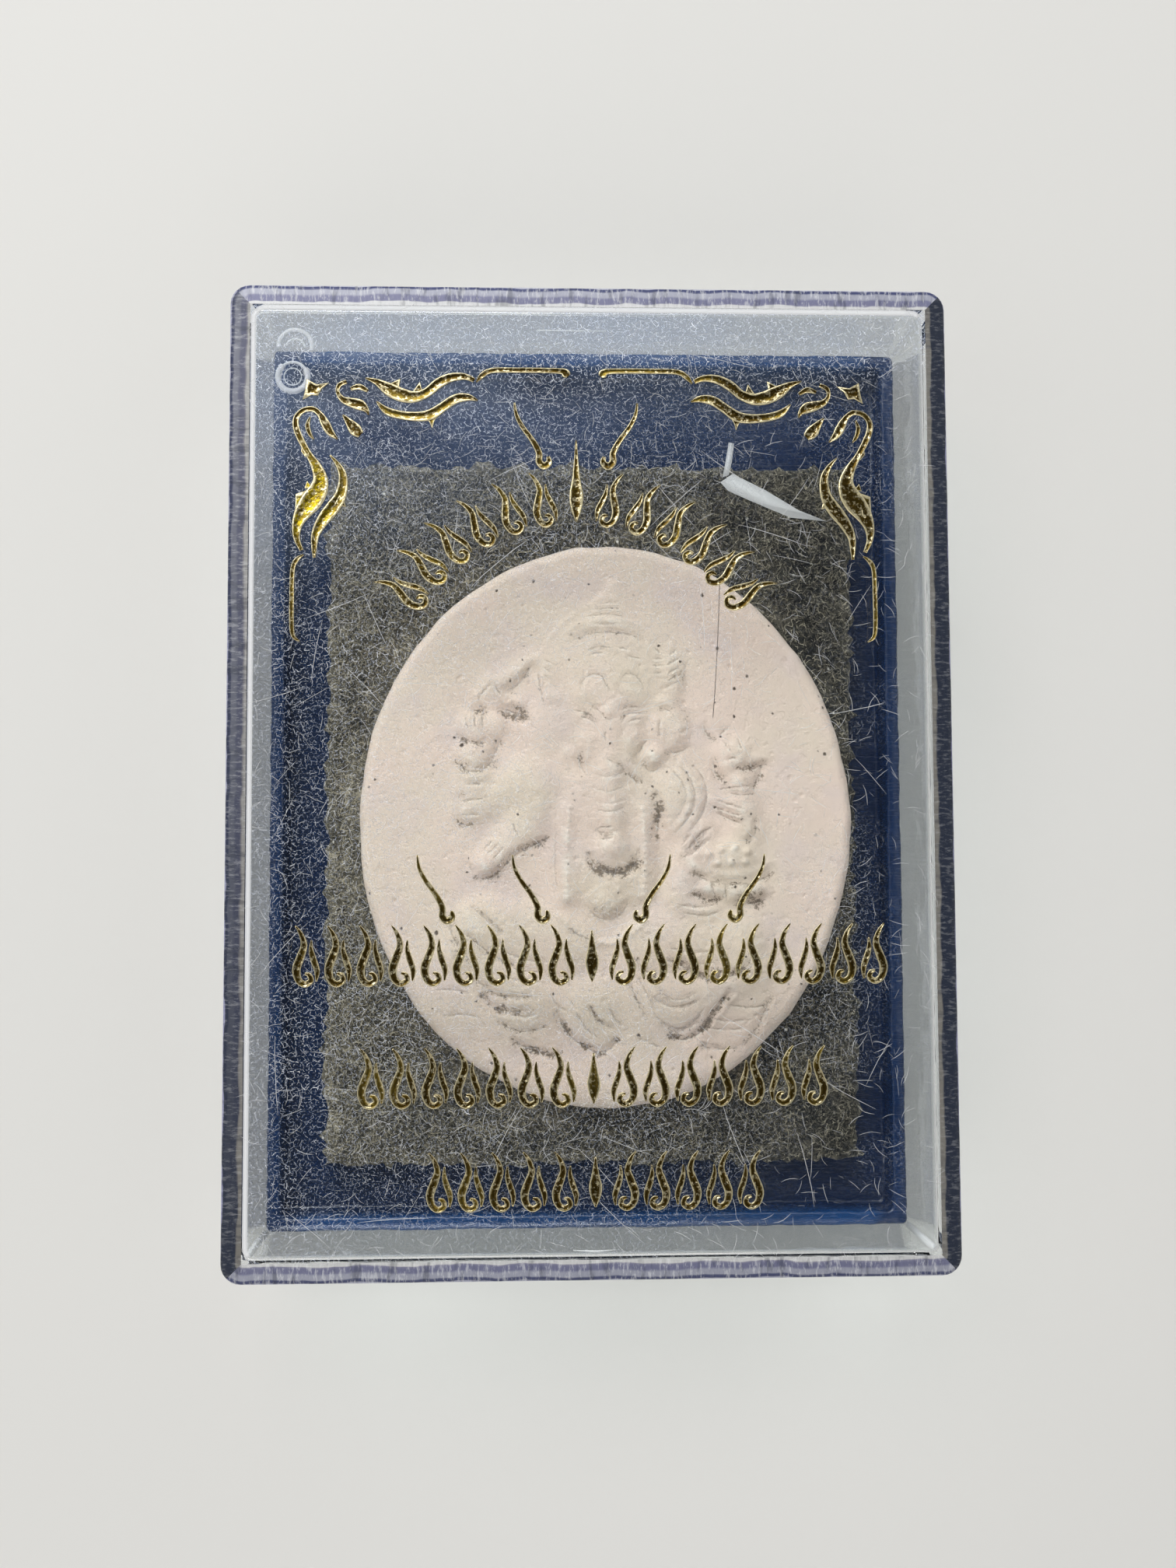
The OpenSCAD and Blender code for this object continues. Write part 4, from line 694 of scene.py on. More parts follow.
class Relief:
    """Heights of the figure, and its grime with painted shade, on a fine raster."""

    def __init__(self, half_w, half_l, sizes):
        self.x0, self.y0 = -half_w - 1, -half_l - 1
        nx, ny = int((2 * half_w + 2) / CELL) + 1, int((2 * half_l + 2) / CELL) + 1
        self.x, self.y = np.meshgrid(self.x0 + np.arange(nx) * CELL, self.y0 + np.arange(ny) * CELL)
        forms = np.zeros((ny, nx))
        for *place, high in DOMES:
            win, t = self.spot(*place)
            forms[win] += (high * np.clip(1 - t, 0, 1) ** sizes.softness) ** ROUND_POWER
        for x1, y1, x2, y2, r1, r2, h1, h2 in LIMBS:
            r = max(r1, r2)
            win = self.window(min(x1, x2) - r, max(x1, x2) + r, min(y1, y2) - r, max(y1, y2) + r)
            gap, s, _ = along_line(self.x[win], self.y[win], [(x1, y1), (x2, y2)])
            s = 1 - s if x2 < x1 else s
            t = (gap / (r1 + (r2 - r1) * s)) ** 2
            forms[win] += ((h1 + (h2 - h1) * s) * np.clip(1 - t, 0, 1) ** sizes.softness) ** ROUND_POWER
        self.h = self.blurred(sizes.relief * forms ** (1 / ROUND_POWER), 0.3)
        for half, high, *flat in STROKES:
            self.draw(half, high * sizes.folds, flat, taper=0.2)
        self.h = self.blurred(np.maximum(self.h, DEEPEST), sizes.wear)
        self.crease, self.ink = np.ones((ny, nx)), np.zeros((ny, nx))
        for half, high, *flat in FINE_LINES:
            self.draw(half * FINE_WIDER, high * FINE_LOWER, flat, taper=0.6)
            if high < 0:
                self.score(high, flat)
        for radius, high, step, *flat in BEADS:
            path = smooth_rows(np.reshape(flat, (-1, 2)), 12)
            runs = np.concatenate([[0], np.cumsum(np.hypot(*np.diff(path, axis=0).T))])
            for s in np.arange(0, runs[-1] + 0.01, step):
                self.dot(np.interp(s, runs, path[:, 0]), np.interp(s, runs, path[:, 1]), radius, high)
        self.h = self.blurred(self.h, 0.07)
        # A broad furrow also carries a faint scored line, and is darkened by its depth with grime and painted
        # shade
        self.grime = np.zeros((ny, nx))
        for half, high, *flat in STROKES:
            if high < 0:
                self.score(0.4 * high, flat)
                self.soil(1.2 * half, min(1.0, -2.2 * high), flat)
        for half, strength, *flat in GRIME_AND_SHADE_LINES:
            self.soil(half, strength, flat)

    def window(self, x1, x2, y1, y2):
        """The part of the raster between two x and two y."""
        i1, i2 = (int((v - self.x0) / CELL) for v in (x1, x2))
        j1, j2 = (int((v - self.y0) / CELL) for v in (y1, y2))
        return slice(max(j1, 0), max(j2 + 2, 0)), slice(max(i1, 0), max(i2 + 2, 0))

    def spot(self, x, y, rx, ry, turn):
        """The raster round an oval spot, and the squared distance from its middle, 1 at its edge."""
        win = self.window(x - rx - ry, x + rx + ry, y - rx - ry, y + rx + ry)
        c, s = math.cos(math.radians(turn)), math.sin(math.radians(turn))
        dx, dy = self.x[win] - x, self.y[win] - y
        return win, ((dx * c + dy * s) / rx) ** 2 + ((dy * c - dx * s) / ry) ** 2

    def near_line(self, flat, reach):
        """The raster within reach of a smooth line, and what along_line gives there."""
        path = smooth_rows(np.reshape(flat, (-1, 2)), 5)
        lo, hi = path.min(0) - reach, path.max(0) + reach
        win = self.window(lo[0], hi[0], lo[1], hi[1])
        return win, *along_line(self.x[win], self.y[win], path)

    def draw(self, half, high, flat, taper):
        """A ridge or furrow along a smooth line; taper thins its ends."""
        win, gap, s, _ = self.near_line(flat, half)
        end = 1 - taper * np.clip(np.abs(2 * s - 1) * 1.6 - 0.6, 0, 1) ** 2
        self.h[win] += high * end * np.clip(1 - (gap / (half * end)) ** 2, 0, 1) ** 2

    def score(self, high, flat):
        """A line finer than the raster, kept as the signed distance to it and the strength of its painted
        shade and highlight nearby.
        """
        win, gap, s, side = self.near_line(flat, 0.5)
        near = (gap < np.abs(self.crease[win])) & (gap < 0.45)
        strong = min(0.9, 0.15 - 4 * high) * np.clip((1 - np.abs(2 * s - 1)) * 5, 0.3, 1)
        self.crease[win] = np.where(near, gap * side, self.crease[win])
        self.ink[win] = np.where(near, strong * np.clip(1.6 - gap * 4, 0, 1), self.ink[win])

    def soil(self, half, strength, flat):
        """Grime and painted shade along a line, thickest in its middle."""
        win, gap, _, _ = self.near_line(flat, half)
        self.grime[win] = np.maximum(self.grime[win], strength * np.clip(1 - (gap / half) ** 2, 0, 1))

    def dot(self, x, y, radius, high):
        """A round bead, or a pit where its height is below zero."""
        win = self.window(x - radius, x + radius, y - radius, y + radius)
        t = ((self.x[win] - x) ** 2 + (self.y[win] - y) ** 2) / radius ** 2
        self.h[win] += high * np.clip(1 - t, 0, 1) ** 1.5

    @staticmethod
    def blurred(h, sigma):
        """A raster rubbed soft over sigma millimetres."""
        reach = int(3 * sigma / CELL) + 1
        k = np.exp(-0.5 * (np.arange(-reach, reach + 1) * CELL / sigma) ** 2)
        k /= k.sum()
        for axis in (0, 1):
            padded = np.pad(h, [(reach, reach) if a == axis else (0, 0) for a in (0, 1)], mode="edge")
            n = h.shape[axis]
            h = sum(w * np.take(padded, np.arange(i, i + n), axis) for i, w in enumerate(k))
        return h

    def at(self, field, x, y):
        """A raster's values at any x and y."""
        u, v = (x - self.x0) / CELL, (y - self.y0) / CELL
        i, j = np.clip(u.astype(int), 0, field.shape[1] - 2), np.clip(v.astype(int), 0, field.shape[0] - 2)
        return between(field, j, i, v - j, u - i)


# Materials

def pressed_clay(looks):
    """Clay powder pressed in a mould: a smooth chalky skin, pink and cream by turns, grimy and painted with
    shade in its lines, with painted highlights on their lips and on high spots.
    """
    m, t, place = new_material("pressed_clay_powder")
    figure, grime, worn, crease, ink = (node(t, "ShaderNodeAttribute", attribute_name=a).outputs["Fac"]
        for a in CLAY_MARKS)
    rubbed = node(t, "ShaderNodeMath", {0: figure, 1: patches(t, place, 0.14, 0.35, 0.6, 0.1, 0.8)},
        operation="MULTIPLY")
    colour = painted(t, looks.clay_pink, (patches(t, place, 0.12, 0.35, 0.65), looks.clay),
        (patches(t, place, 0.2, 0.45, 0.7, 0.0, 0.8), looks.clay_cool), (rubbed, looks.clay_cream),
        (patches(t, place, 1.5, 0.5, 0.8, 0.0, 0.3, 5.0, 0.7), looks.clay_dull))
    # Rubbed high spots, lighter by wear and by a painted highlight
    rubbed_and_lit = node(t, "ShaderNodeMath", {0: worn, 1: patches(t, place, 1.2, 0.4, 0.65)}, operation="MULTIPLY")
    # The mould's scored lines are 0.1 mm wide: painted shade with grime in the groove, a painted highlight
    # along the lower lip
    shake = patches(t, place, 3.5, 0.25, 0.75, -0.05, 0.05, 2.0)
    groove = node(t, "ShaderNodeMath", {0: crease, 1: shake}, operation="ADD")
    lit_lip = node(t, "ShaderNodeMath", {0: groove, 1: 0.13}, operation="ADD")
    mottled_line_shading = node(t, "ShaderNodeMath", {0: ink, 1: patches(t, place, 2.2, 0.4, 0.58, 0.0, 1.0, 5.0, 0.8)},
        operation="MULTIPLY")
    # dark is painted shade with grime in the groove, bright a painted highlight on the lit lip
    dark, bright = (node(t, "ShaderNodeMath", {0: mottled_line_shading, 1: line_at(t, d, half)}, operation="MULTIPLY")
        for d, half in ((groove, 0.1), (lit_lip, 0.09)))
    # A fainter copy of the painted shade in the groove
    faint = node(t, "ShaderNodeMath", {0: dark, 1: 0.55}, operation="MULTIPLY")
    # Grime and painted shade sit between the grains: specks of 0.05 to 0.1 mm that crowd together in the
    # hollows
    grain = node(t, "ShaderNodeTexNoise", {"Vector": place, "Scale": 4.5 / MM, "Detail": 5.0,
        "Roughness": 0.8})
    grime = node(t, "ShaderNodeMath", {0: grime, 1: patches(t, place, 1.0, 0.38, 0.6, 0.35, 1.15, 2.0)},
        operation="MULTIPLY")
    crowd = node(t, "ShaderNodeMath", {0: grime, 1: 0.26, 2: grain}, operation="MULTIPLY_ADD")
    dirt_and_shade = node(t, "ShaderNodeMapRange", {"Value": crowd, "From Min": 0.66, "From Max": 0.78,
        "To Max": 0.85}, interpolation_type="SMOOTHSTEP")
    # A dull wash of painted shade where the grime lies
    grime_and_shade_wash = node(t, "ShaderNodeMath", {0: grime, 1: 0.3}, operation="MULTIPLY")
    colour = painted(t, colour, (rubbed_and_lit, looks.clay_bright), (bright, looks.clay_bright),
        (grime_and_shade_wash, looks.clay_dull), (faint, looks.clay_grime), (dirt_and_shade, looks.clay_grime))
    # Grit of 0.05 to 0.2 mm, drawn at 0.1 mm and more so that it shows
    bent = curled(t, place, 4.0, 0.1)
    for per_mm, radius, share in ((1.7, 0.26, 0.12), (0.9, 0.18, 0.14), (0.33, 0.08, 0.3)):
        colour = painted(t, colour, (specks(t, bent, per_mm, radius, share), looks.grit))
    pores = patches(t, place, 1.1, 0.3, 0.5)
    rough = node(t, "ShaderNodeMath", {0: figure, 1: 1.2, 2: 0.3}, operation="MULTIPLY_ADD")
    high = node(t, "ShaderNodeMath", {0: grain, 1: rough, 2: pores}, operation="MULTIPLY_ADD")
    high = node(t, "ShaderNodeMath", {0: dark, 1: -2.0, 2: high}, operation="MULTIPLY_ADD")
    bump = node(t, "ShaderNodeBump", {"Height": high, "Strength": 0.5, "Distance": 0.08 * MM})
    return finished(m, node(t, "ShaderNodeBsdfPrincipled", {"Base Color": colour, "Roughness": 0.88,
        "IOR": 1.5, "Specular IOR Level": 0.25, "Normal": bump}).outputs[0])


def wool_felt(looks, name="wool_felt", light=0.0):
    """Loose wool felt: matted curly fibres 0.1 mm thick, pale on top and dark between, with a few painted
    glints.
    """
    m, t, place = new_material(name)
    curly = curled(t, place, 0.7, 0.9)
    tufts, threads = (node(t, "ShaderNodeTexNoise", {"Vector": curly, "Scale": per_mm / MM, "Detail": 4.0,
        "Roughness": rough}) for per_mm, rough in ((0.3, 0.6), (3.5, 0.8)))
    mix = node(t, "ShaderNodeMix", {"Factor_Float": 0.7, "A_Float": tufts, "B_Float": threads},
        data_type="FLOAT")
    # The lid's right wall shades the felt's right side
    x = node(t, "ShaderNodeSeparateXYZ", {0: place}).outputs["X"]
    shaded = node(t, "ShaderNodeMapRange", {"Value": x, "From Min": -22 * MM, "From Max": 23 * MM,
        "To Min": light + 0.035, "To Max": light - 0.05})
    mix = node(t, "ShaderNodeMath", {0: mix, 1: shaded}, operation="ADD")
    main, pale = (node(t, "ShaderNodeMapRange", {"Value": mix, "From Min": low, "From Max": high},
        interpolation_type="SMOOTHSTEP") for low, high in ((0.4, 0.55), (0.56, 0.66)))
    lone = [hairlines(t, place, per_mm, turn, 0.07, 0.5) for per_mm, turn in ((1.0, 0.3), (1.5, 1.7))]
    fibre = node(t, "ShaderNodeMath", {0: lone[0], 1: lone[1]}, operation="MAXIMUM")
    colour = painted(t, looks.felt_dark, (main, looks.felt), (pale, looks.felt_pale),
        (fibre, looks.felt_pale), (specks(t, place, 1.0, 0.17, 0.2), looks.felt_glint))
    bump = node(t, "ShaderNodeBump", {"Height": mix, "Strength": 0.6, "Distance": 0.2 * MM})
    return finished(m, node(t, "ShaderNodeBsdfPrincipled", {"Base Color": colour, "Roughness": 0.95,
        "Sheen Weight": 0.15, "Sheen Roughness": 0.5, "Specular IOR Level": 0.15, "Normal": bump}).outputs[0])


def navy_polystyrene(looks):
    """Injection-moulded polystyrene dyed navy: deep blue, glossy, rubbed, and painted with shade so that it
    is nearly black in its recess.
    """
    m, t, place = new_material("moulded_polystyrene_navy")
    x, z = (node(t, "ShaderNodeSeparateXYZ", {0: place}).outputs[axis] for axis in "XZ")
    # Painted shade: darker low in the recess and on the floor by its left and right sides
    recess_shade = node(t, "ShaderNodeMapRange", {"Value": z, "From Min": 2.2 * MM, "From Max": 4.6 * MM,
        "To Min": 1.0, "To Max": 0.0})
    aside = node(t, "ShaderNodeMath", {0: x}, operation="ABSOLUTE")
    aside = node(t, "ShaderNodeMapRange", {"Value": aside, "From Min": 23.8 * MM, "From Max": 25.4 * MM,
        "To Max": 0.85}, interpolation_type="SMOOTHSTEP")
    colour = painted(t, looks.navy, (patches(t, place, 0.08, 0.3, 0.7, 0.0, 0.6), looks.navy_dark),
        (recess_shade, looks.navy_deep), (aside, looks.navy_deep))
    pulled = node(t, "ShaderNodeMapping", {"Vector": place, "Scale": (1.0, 9.0, 1.0)})
    bump = node(t, "ShaderNodeBump", {"Height": patches(t, place, 0.5, 0.3, 0.7), "Strength": 0.1,
        "Distance": 0.05 * MM})
    return finished(m, node(t, "ShaderNodeBsdfPrincipled", {"Base Color": colour, "IOR": 1.59,
        "Roughness": patches(t, pulled, 0.8, 0.4, 0.75, 0.16, 0.4, 4.0), "Normal": bump}).outputs[0])


def clear_polystyrene(looks):
    """Crystal polystyrene, faintly blue at its edges. Lamps shine through it, so what it holds is lit."""
    m, t, place = new_material("moulded_polystyrene_clear")
    wave = node(t, "ShaderNodeBump", {"Height": patches(t, place, 0.12, 0.2, 0.8), "Strength": 0.25,
        "Distance": 0.12 * MM})
    shader = node(t, "ShaderNodeBsdfPrincipled", {"Base Color": looks.clear, "Roughness": 0.03,
        "IOR": 1.57, "Transmission Weight": 1.0, "Normal": wave})
    lamp = node(t, "ShaderNodeBsdfTransparent", {"Color": looks.clear})
    shadow = node(t, "ShaderNodeLightPath").outputs["Is Shadow Ray"]
    return finished(m, node(t, "ShaderNodeMixShader", {0: shadow, 1: shader.outputs[0], 2: lamp}).outputs[0])


def marks_and_highlights_finish(name, colour, alpha, rough):
    """Clear polystyrene broken up by a scratch, a crack or an ejector pin, which scatters the light; also
    white sheets for painted highlights.
    """
    m, t, _ = new_material(name)
    return finished(m, node(t, "ShaderNodeBsdfPrincipled", {"Base Color": colour, "Roughness": rough,
        "IOR": 1.5, "Alpha": alpha}).outputs[0])


def scratched_film(looks):
    """The lid's rubbed top: a web of curly hairline scratches in a faint haze, densest at the head's end,
    where the haze is partly painted light.
    """
    m, t, place = new_material("scratched_polystyrene_top")
    # Real hairlines are 0.01 to 0.03 mm wide; drawn 0.04 mm wide so that they show
    lines = 0.0
    for per_mm, turn, kept, bright in ((1.2, 0.4, 0.57, 1.0), (1.9, 1.5, 0.52, 0.8), (2.7, 2.5, 0.48, 0.6)):
        layer = node(t, "ShaderNodeMath", {0: hairlines(t, place, per_mm, turn, 0.042, kept), 1: bright},
            operation="MULTIPLY")
        lines = node(t, "ShaderNodeMath", {0: lines, 1: layer}, operation="MAXIMUM")
    # Haze and scratches grow towards the back; the haze there is partly painted light, scattered from the
    # lamp at the back
    x, y = (node(t, "ShaderNodeSeparateXYZ", {0: place}).outputs[axis] for axis in "XY")
    slant = node(t, "ShaderNodeMath", {0: x, 1: -0.35, 2: y}, operation="MULTIPLY_ADD")
    upper = node(t, "ShaderNodeMapRange", {"Value": slant, "From Min": 17 * MM, "From Max": 42 * MM},
        interpolation_type="SMOOTHSTEP")
    haze = node(t, "ShaderNodeMath", {0: upper, 1: 0.11, 2: 0.004}, operation="MULTIPLY_ADD")
    haze = node(t, "ShaderNodeMath", {0: haze, 1: patches(t, place, 0.12, 0.3, 0.7, 0.5, 1.3, 5.0)},
        operation="MULTIPLY")
    # The top is worn most on its left and in the band at the back; the extra on its left is partly painted
    # light, for the stronger light from that side
    worn = node(t, "ShaderNodeMath", {0: upper, 1: 0.35,
        2: patches(t, place, 0.09, 0.35, 0.65, 0.1, 0.4, 4.0)}, operation="MULTIPLY_ADD")
    left = node(t, "ShaderNodeMapRange", {"Value": x, "From Min": -27 * MM, "From Max": 26 * MM,
        "To Min": 0.25, "To Max": -0.16})
    back = node(t, "ShaderNodeMapRange", {"Value": y, "From Min": 31 * MM, "From Max": 35.5 * MM,
        "To Max": 0.8})
    for more in (left, back):
        worn = node(t, "ShaderNodeMath", {0: worn, 1: more}, operation="ADD")
    alpha = node(t, "ShaderNodeMath", {0: lines, 1: worn, 2: haze}, operation="MULTIPLY_ADD")
    return finished(m, node(t, "ShaderNodeBsdfPrincipled", {"Roughness": 0.55, "Alpha": alpha,
        "Base Color": painted(t, looks.haze, (lines, looks.film))}).outputs[0])


def rubbed_edge_in_painted_light(looks):
    """The lid's rubbed edge, seen down its wall, in painted light and shade: violet and white bands where it
    is painted as lit, slate where painted as shaded.
    """
    m, t, place = new_material("rubbed_polystyrene_edge_in_painted_light")
    along, across, pale = (node(t, "ShaderNodeAttribute", attribute_name=a).outputs["Fac"]
        for a in ("along", "across", "pale"))
    squeezed = node(t, "ShaderNodeMath", {0: across, 1: 0.25}, operation="MULTIPLY")
    moved = node(t, "ShaderNodeMath", {0: pale, 1: 0.04}, operation="MULTIPLY")
    run = node(t, "ShaderNodeCombineXYZ", {"X": along, "Y": squeezed, "Z": moved})
    drift = node(t, "ShaderNodeMath", {0: patches(t, run, 0.25, 0.3, 0.7, -0.12, 0.12), 1: MM, 2: across},
        operation="MULTIPLY_ADD")
    # The bands painted as lit and as shaded, mixed by each side's share of painted light
    light = banded(t, drift, looks.edge_pale, (0.12, 0.04, looks.edge_violet), (0.38, 0.08, looks.edge_pale),
        (0.85, 0.12, looks.edge_lilac), (1.4, 0.05, looks.scuff))
    shade = banded(t, drift, looks.edge_lilac, (0.1, 0.04, looks.edge_dark), (1.3, 0.08, looks.edge_tan))
    # White scuffs crowd more where the edge is painted as lit
    share = node(t, "ShaderNodeMath", {0: pale, 1: 0.4, 2: 0.12}, operation="MULTIPLY_ADD")
    share = node(t, "ShaderNodeMath", {0: share, 1: patches(t, run, 4.5, 0.5, 0.64, 0.0, 1.0, 4.0, 0.7)},
        operation="MULTIPLY")
    dark = patches(t, run, 1.6, 0.52, 0.68, 0.0, 0.45, 4.0)
    colour = painted(t, shade, (pale, light), (share, looks.scuff), (dark, looks.edge_dark))
    return finished(m, node(t, "ShaderNodeBsdfPrincipled", {"Base Color": colour, "Roughness": 0.45,
        "Alpha": patches(t, run, 2.0, 0.35, 0.65, 0.78, 0.95)}).outputs[0])


def stamped_foil(looks):
    """Hot-stamped gold foil: a painted highlight on each stroke's raised rim, brown and speckled in its sunk
    middle.
    """
    m, t, place = new_material("hot_stamped_gold_foil")
    rim = node(t, "ShaderNodeAttribute", attribute_name="rim").outputs["Fac"]
    rim = node(t, "ShaderNodeMath", {0: rim, 1: patches(t, place, 1.8, 0.3, 0.7, -0.3, 0.15)},
        operation="ADD")
    # The raised rim gets a painted highlight
    edge = node(t, "ShaderNodeMapRange", {"Value": rim, "From Min": 0.4, "From Max": 0.85},
        interpolation_type="SMOOTHSTEP")
    # One hook of the left corner is painted lighter and yellower, as if turned to the light
    off = node(t, "ShaderNodeVectorMath", {0: place, 1: [v * MM for v in LIT_HOOK]}, operation="DISTANCE")
    lit = node(t, "ShaderNodeMapRange", {"Value": off.outputs["Value"], "From Min": 1.2 * MM,
        "From Max": 4.0 * MM, "To Min": 1.0, "To Max": 0.0}, interpolation_type="SMOOTHSTEP")
    mottled = patches(t, place, 1.1, 0.38, 0.62, 0.1, 1.0, 4.0, 0.75)
    lit = node(t, "ShaderNodeMath", {0: lit, 1: mottled}, operation="MULTIPLY")
    colour = painted(t, looks.gold_brown, (patches(t, place, 0.14, 0.52, 0.66, 0.0, 0.3, 2.0), looks.gold),
        (lit, looks.gold_yellow), (patches(t, place, 2.6, 0.52, 0.62, 0.0, 0.7, 3.0, 0.7), looks.gold_rim),
        (edge, looks.gold_rim))
    bump = node(t, "ShaderNodeBump", {"Height": patches(t, place, 3.4, 0.3, 0.7, 0.0, 1.0, 3.0, 0.7),
        "Strength": 0.4, "Distance": 0.04 * MM})
    return finished(m, node(t, "ShaderNodeBsdfPrincipled", {"Base Color": colour, "Metallic": 1.0,
        "Roughness": 0.28, "Normal": bump}).outputs[0])


def paper_floor(looks):
    """Smooth pale paper, without gloss."""
    m, t, _ = new_material("pale_paper_floor")
    return finished(m, node(t, "ShaderNodeBsdfPrincipled", {"Base Color": looks.floor,
        "Roughness": 0.9}).outputs[0])


# Settings

def colour_prop(name, code, what):
    """A colour, given as an sRGB hex value."""
    return bpy.props.FloatVectorProperty(name=name, description=what, default=linear(code), size=4,
        subtype="COLOR", min=0, max=1)


def size_prop(name, value, low, high, what):
    """A length, given in millimetres."""
    return bpy.props.FloatProperty(name=name, description=what, default=value * MM, min=low * MM,
        max=high * MM, precision=5, unit="LENGTH")


def share_prop(name, value, low, high, what):
    """A share or a power."""
    return bpy.props.FloatProperty(name=name, description=what, default=value, min=low, max=high,
        subtype="FACTOR")


def count_prop(name, value, low, high, what):
    """A number of things."""
    return bpy.props.IntProperty(name=name, description=what, default=value, min=low, max=high)


def plain_sizes(group):
    """The values of a group of settings, its lengths in millimetres."""
    values = {key: getattr(group, key) for key in group.__annotations__}
    lengths = [key for key in values if group.bl_rna.properties[key].unit == "LENGTH"]
    values.update({key: round(values[key] / MM, 6) for key in lengths})
    return SimpleNamespace(**values)


class AmuletSizes(bpy.types.PropertyGroup):
    """Sizes of the oval"""
    plate: size_prop("Plate", 3.8, 3, 4.2, "Thickness of the oval without the figure")
    slope: size_prop("Slope", 0.8, 0.4, 1.2, "Width of the sloping edge")
    foot_slope: size_prop("Foot slope", 1.3, 0, 1.6, "Extra slope at the figure's foot")
    drop: size_prop("Drop", 0.9, 0.4, 1.2, "How far the edge's slope drops")
    wear: size_prop("Wear", 0.13, 0.1, 0.6, "How far the forms are rubbed soft")
    relief: share_prop("Relief", 0.5, 0.3, 1.2, "Height of the figure as a share of a deep relief")
    folds: share_prop("Folds", 0.6, 0.3, 1.2, "Depth of the folds as a share of a deep relief")
    softness: share_prop("Softness", 1.15, 0.6, 1.6, "How softly the forms rise from the plate")
    across: count_prop("Cells across", 272, 40, 290, "Cells of the surface across the oval")
    along: count_prop("Cells along", 312, 40, 330, "Cells of the surface along the oval")


class CaseSizes(bpy.types.PropertyGroup):
    """Sizes of the case"""
    wall: size_prop("Wall", 1.6, 1.2, 2.2, "Thickness of the lid's walls")
    top: size_prop("Top", 1.8, 1.2, 2.2, "Thickness of the lid's top")
    flange: size_prop("Flange", 1.6, 1, 2, "Thickness of the tray's flange")
    floor: size_prop("Floor", 2.0, 1, 3, "Height of the tray's floor")
    rim: size_prop("Rim", 1.2, 0.8, 2, "Thickness of the tray's rim")
    play: size_prop("Play", 0.2, 0.1, 0.4, "Clearance between rim and lid")
    corner: size_prop("Corner", 1.6, 0.8, 2.4, "Radius of the upright outer corners")
    inner: size_prop("Inner corner", 0.5, 0.2, 1, "Radius of the upright inner corners")
    scratches: count_prop("Scratches", 2600, 0, 6000, "Deep scratches on the lid")
    pale_fibres: count_prop("Pale fibres", 5200, 0, 7000, "Loose pale fibres on the felt")
    dark_fibres: count_prop("Dark fibres", 3000, 0, 7000, "Loose dark fibres on the felt")


class Looks(bpy.types.PropertyGroup):
    """Colours of the finishes"""
    clay: colour_prop("Clay", "#E8D7C6", "Main colour of the clay")
    clay_pink: colour_prop("Pink clay", "#EBD6C8", "Pinkish clay of the plate")
    clay_cream: colour_prop("Cream clay", "#E6D6C2", "Creamy clay of the rubbed figure")
    clay_cool: colour_prop("Cool clay", "#E2D0C8", "Greyish pink clay")
    # Also the wash of painted shade where the grime lies
    clay_dull: colour_prop("Dull clay", "#C4B19F", "Dull grains")
    # Grime with painted shade in the hollows and grooves
    clay_grime: colour_prop("Grime", "#6E604F", "Grime in the hollows")
    # Painted highlight, with wear, on high spots and on the lips of scored lines
    clay_bright: colour_prop("Worn clay", "#F4ECE0", "Rubbed high spots")
    grit: colour_prop("Grit", "#5A4E44", "Dark grit in the clay")
    felt: colour_prop("Felt", "#625D50", "Main colour of the felt")
    felt_dark: colour_prop("Felt shade", "#1A1B17", "Between the fibres")
    felt_pale: colour_prop("Pale fibre", "#B4AC97", "Pale fibres")
    # Painted glints on the fibres
    felt_glint: colour_prop("Glint", "#F0ECE2", "Glints on the fibres")
    navy: colour_prop("Navy", "#103C6E", "The tray's plastic")
    navy_dark: colour_prop("Dark navy", "#0D3058", "Darker flow in the tray's plastic")
    # Painted shade in the tray's recess
    navy_deep: colour_prop("Deep navy", "#0A2144", "The tray's plastic in its recess")
    clear: colour_prop("Clear", "#F5F7F7", "Tint of the clear lid")
    scuff: colour_prop("Scuff", "#F2F3F4", "Scratched clear plastic")
    film: colour_prop("Film", "#FCFDFF", "Hairline scratches on the lid's top")
    haze: colour_prop("Haze", "#8FA6CC", "Bluish haze between the scratches")
    # Lit and shaded copies of the lid's edge, for its painted light and shade
    edge_dark: colour_prop("Dark edge", "#1B2436", "Lid's edge on its dark side")
    edge_tan: colour_prop("Tan edge", "#75726C", "Inner line of the lid's edge on its dark side")
    edge_pale: colour_prop("Pale edge", "#C2C4D4", "Lid's edge on its light side")
    edge_lilac: colour_prop("Lilac edge", "#8C8DAE", "Inner half of the lid's edge on its light side")
    edge_violet: colour_prop("Violet edge", "#434B7C", "Outer line of the lid's edge on its light side")
    gold: colour_prop("Gold", "#B8A048", "Bright patches of foil")
    # Painted light on the hook of foil
    gold_yellow: colour_prop("Yellow gold", "#D6BC2A", "Foil turned to the light")
    gold_brown: colour_prop("Brown gold", "#50401A", "Foil in the sunk middle")
    # Painted highlight on the raised rim, and bright flecks in the sunk middle
    gold_rim: colour_prop("Gold rim", "#FBEDC0", "Foil on the raised rim")
    floor: colour_prop("Floor", "#E9E8E4", "Plain pale floor")


# Pieces

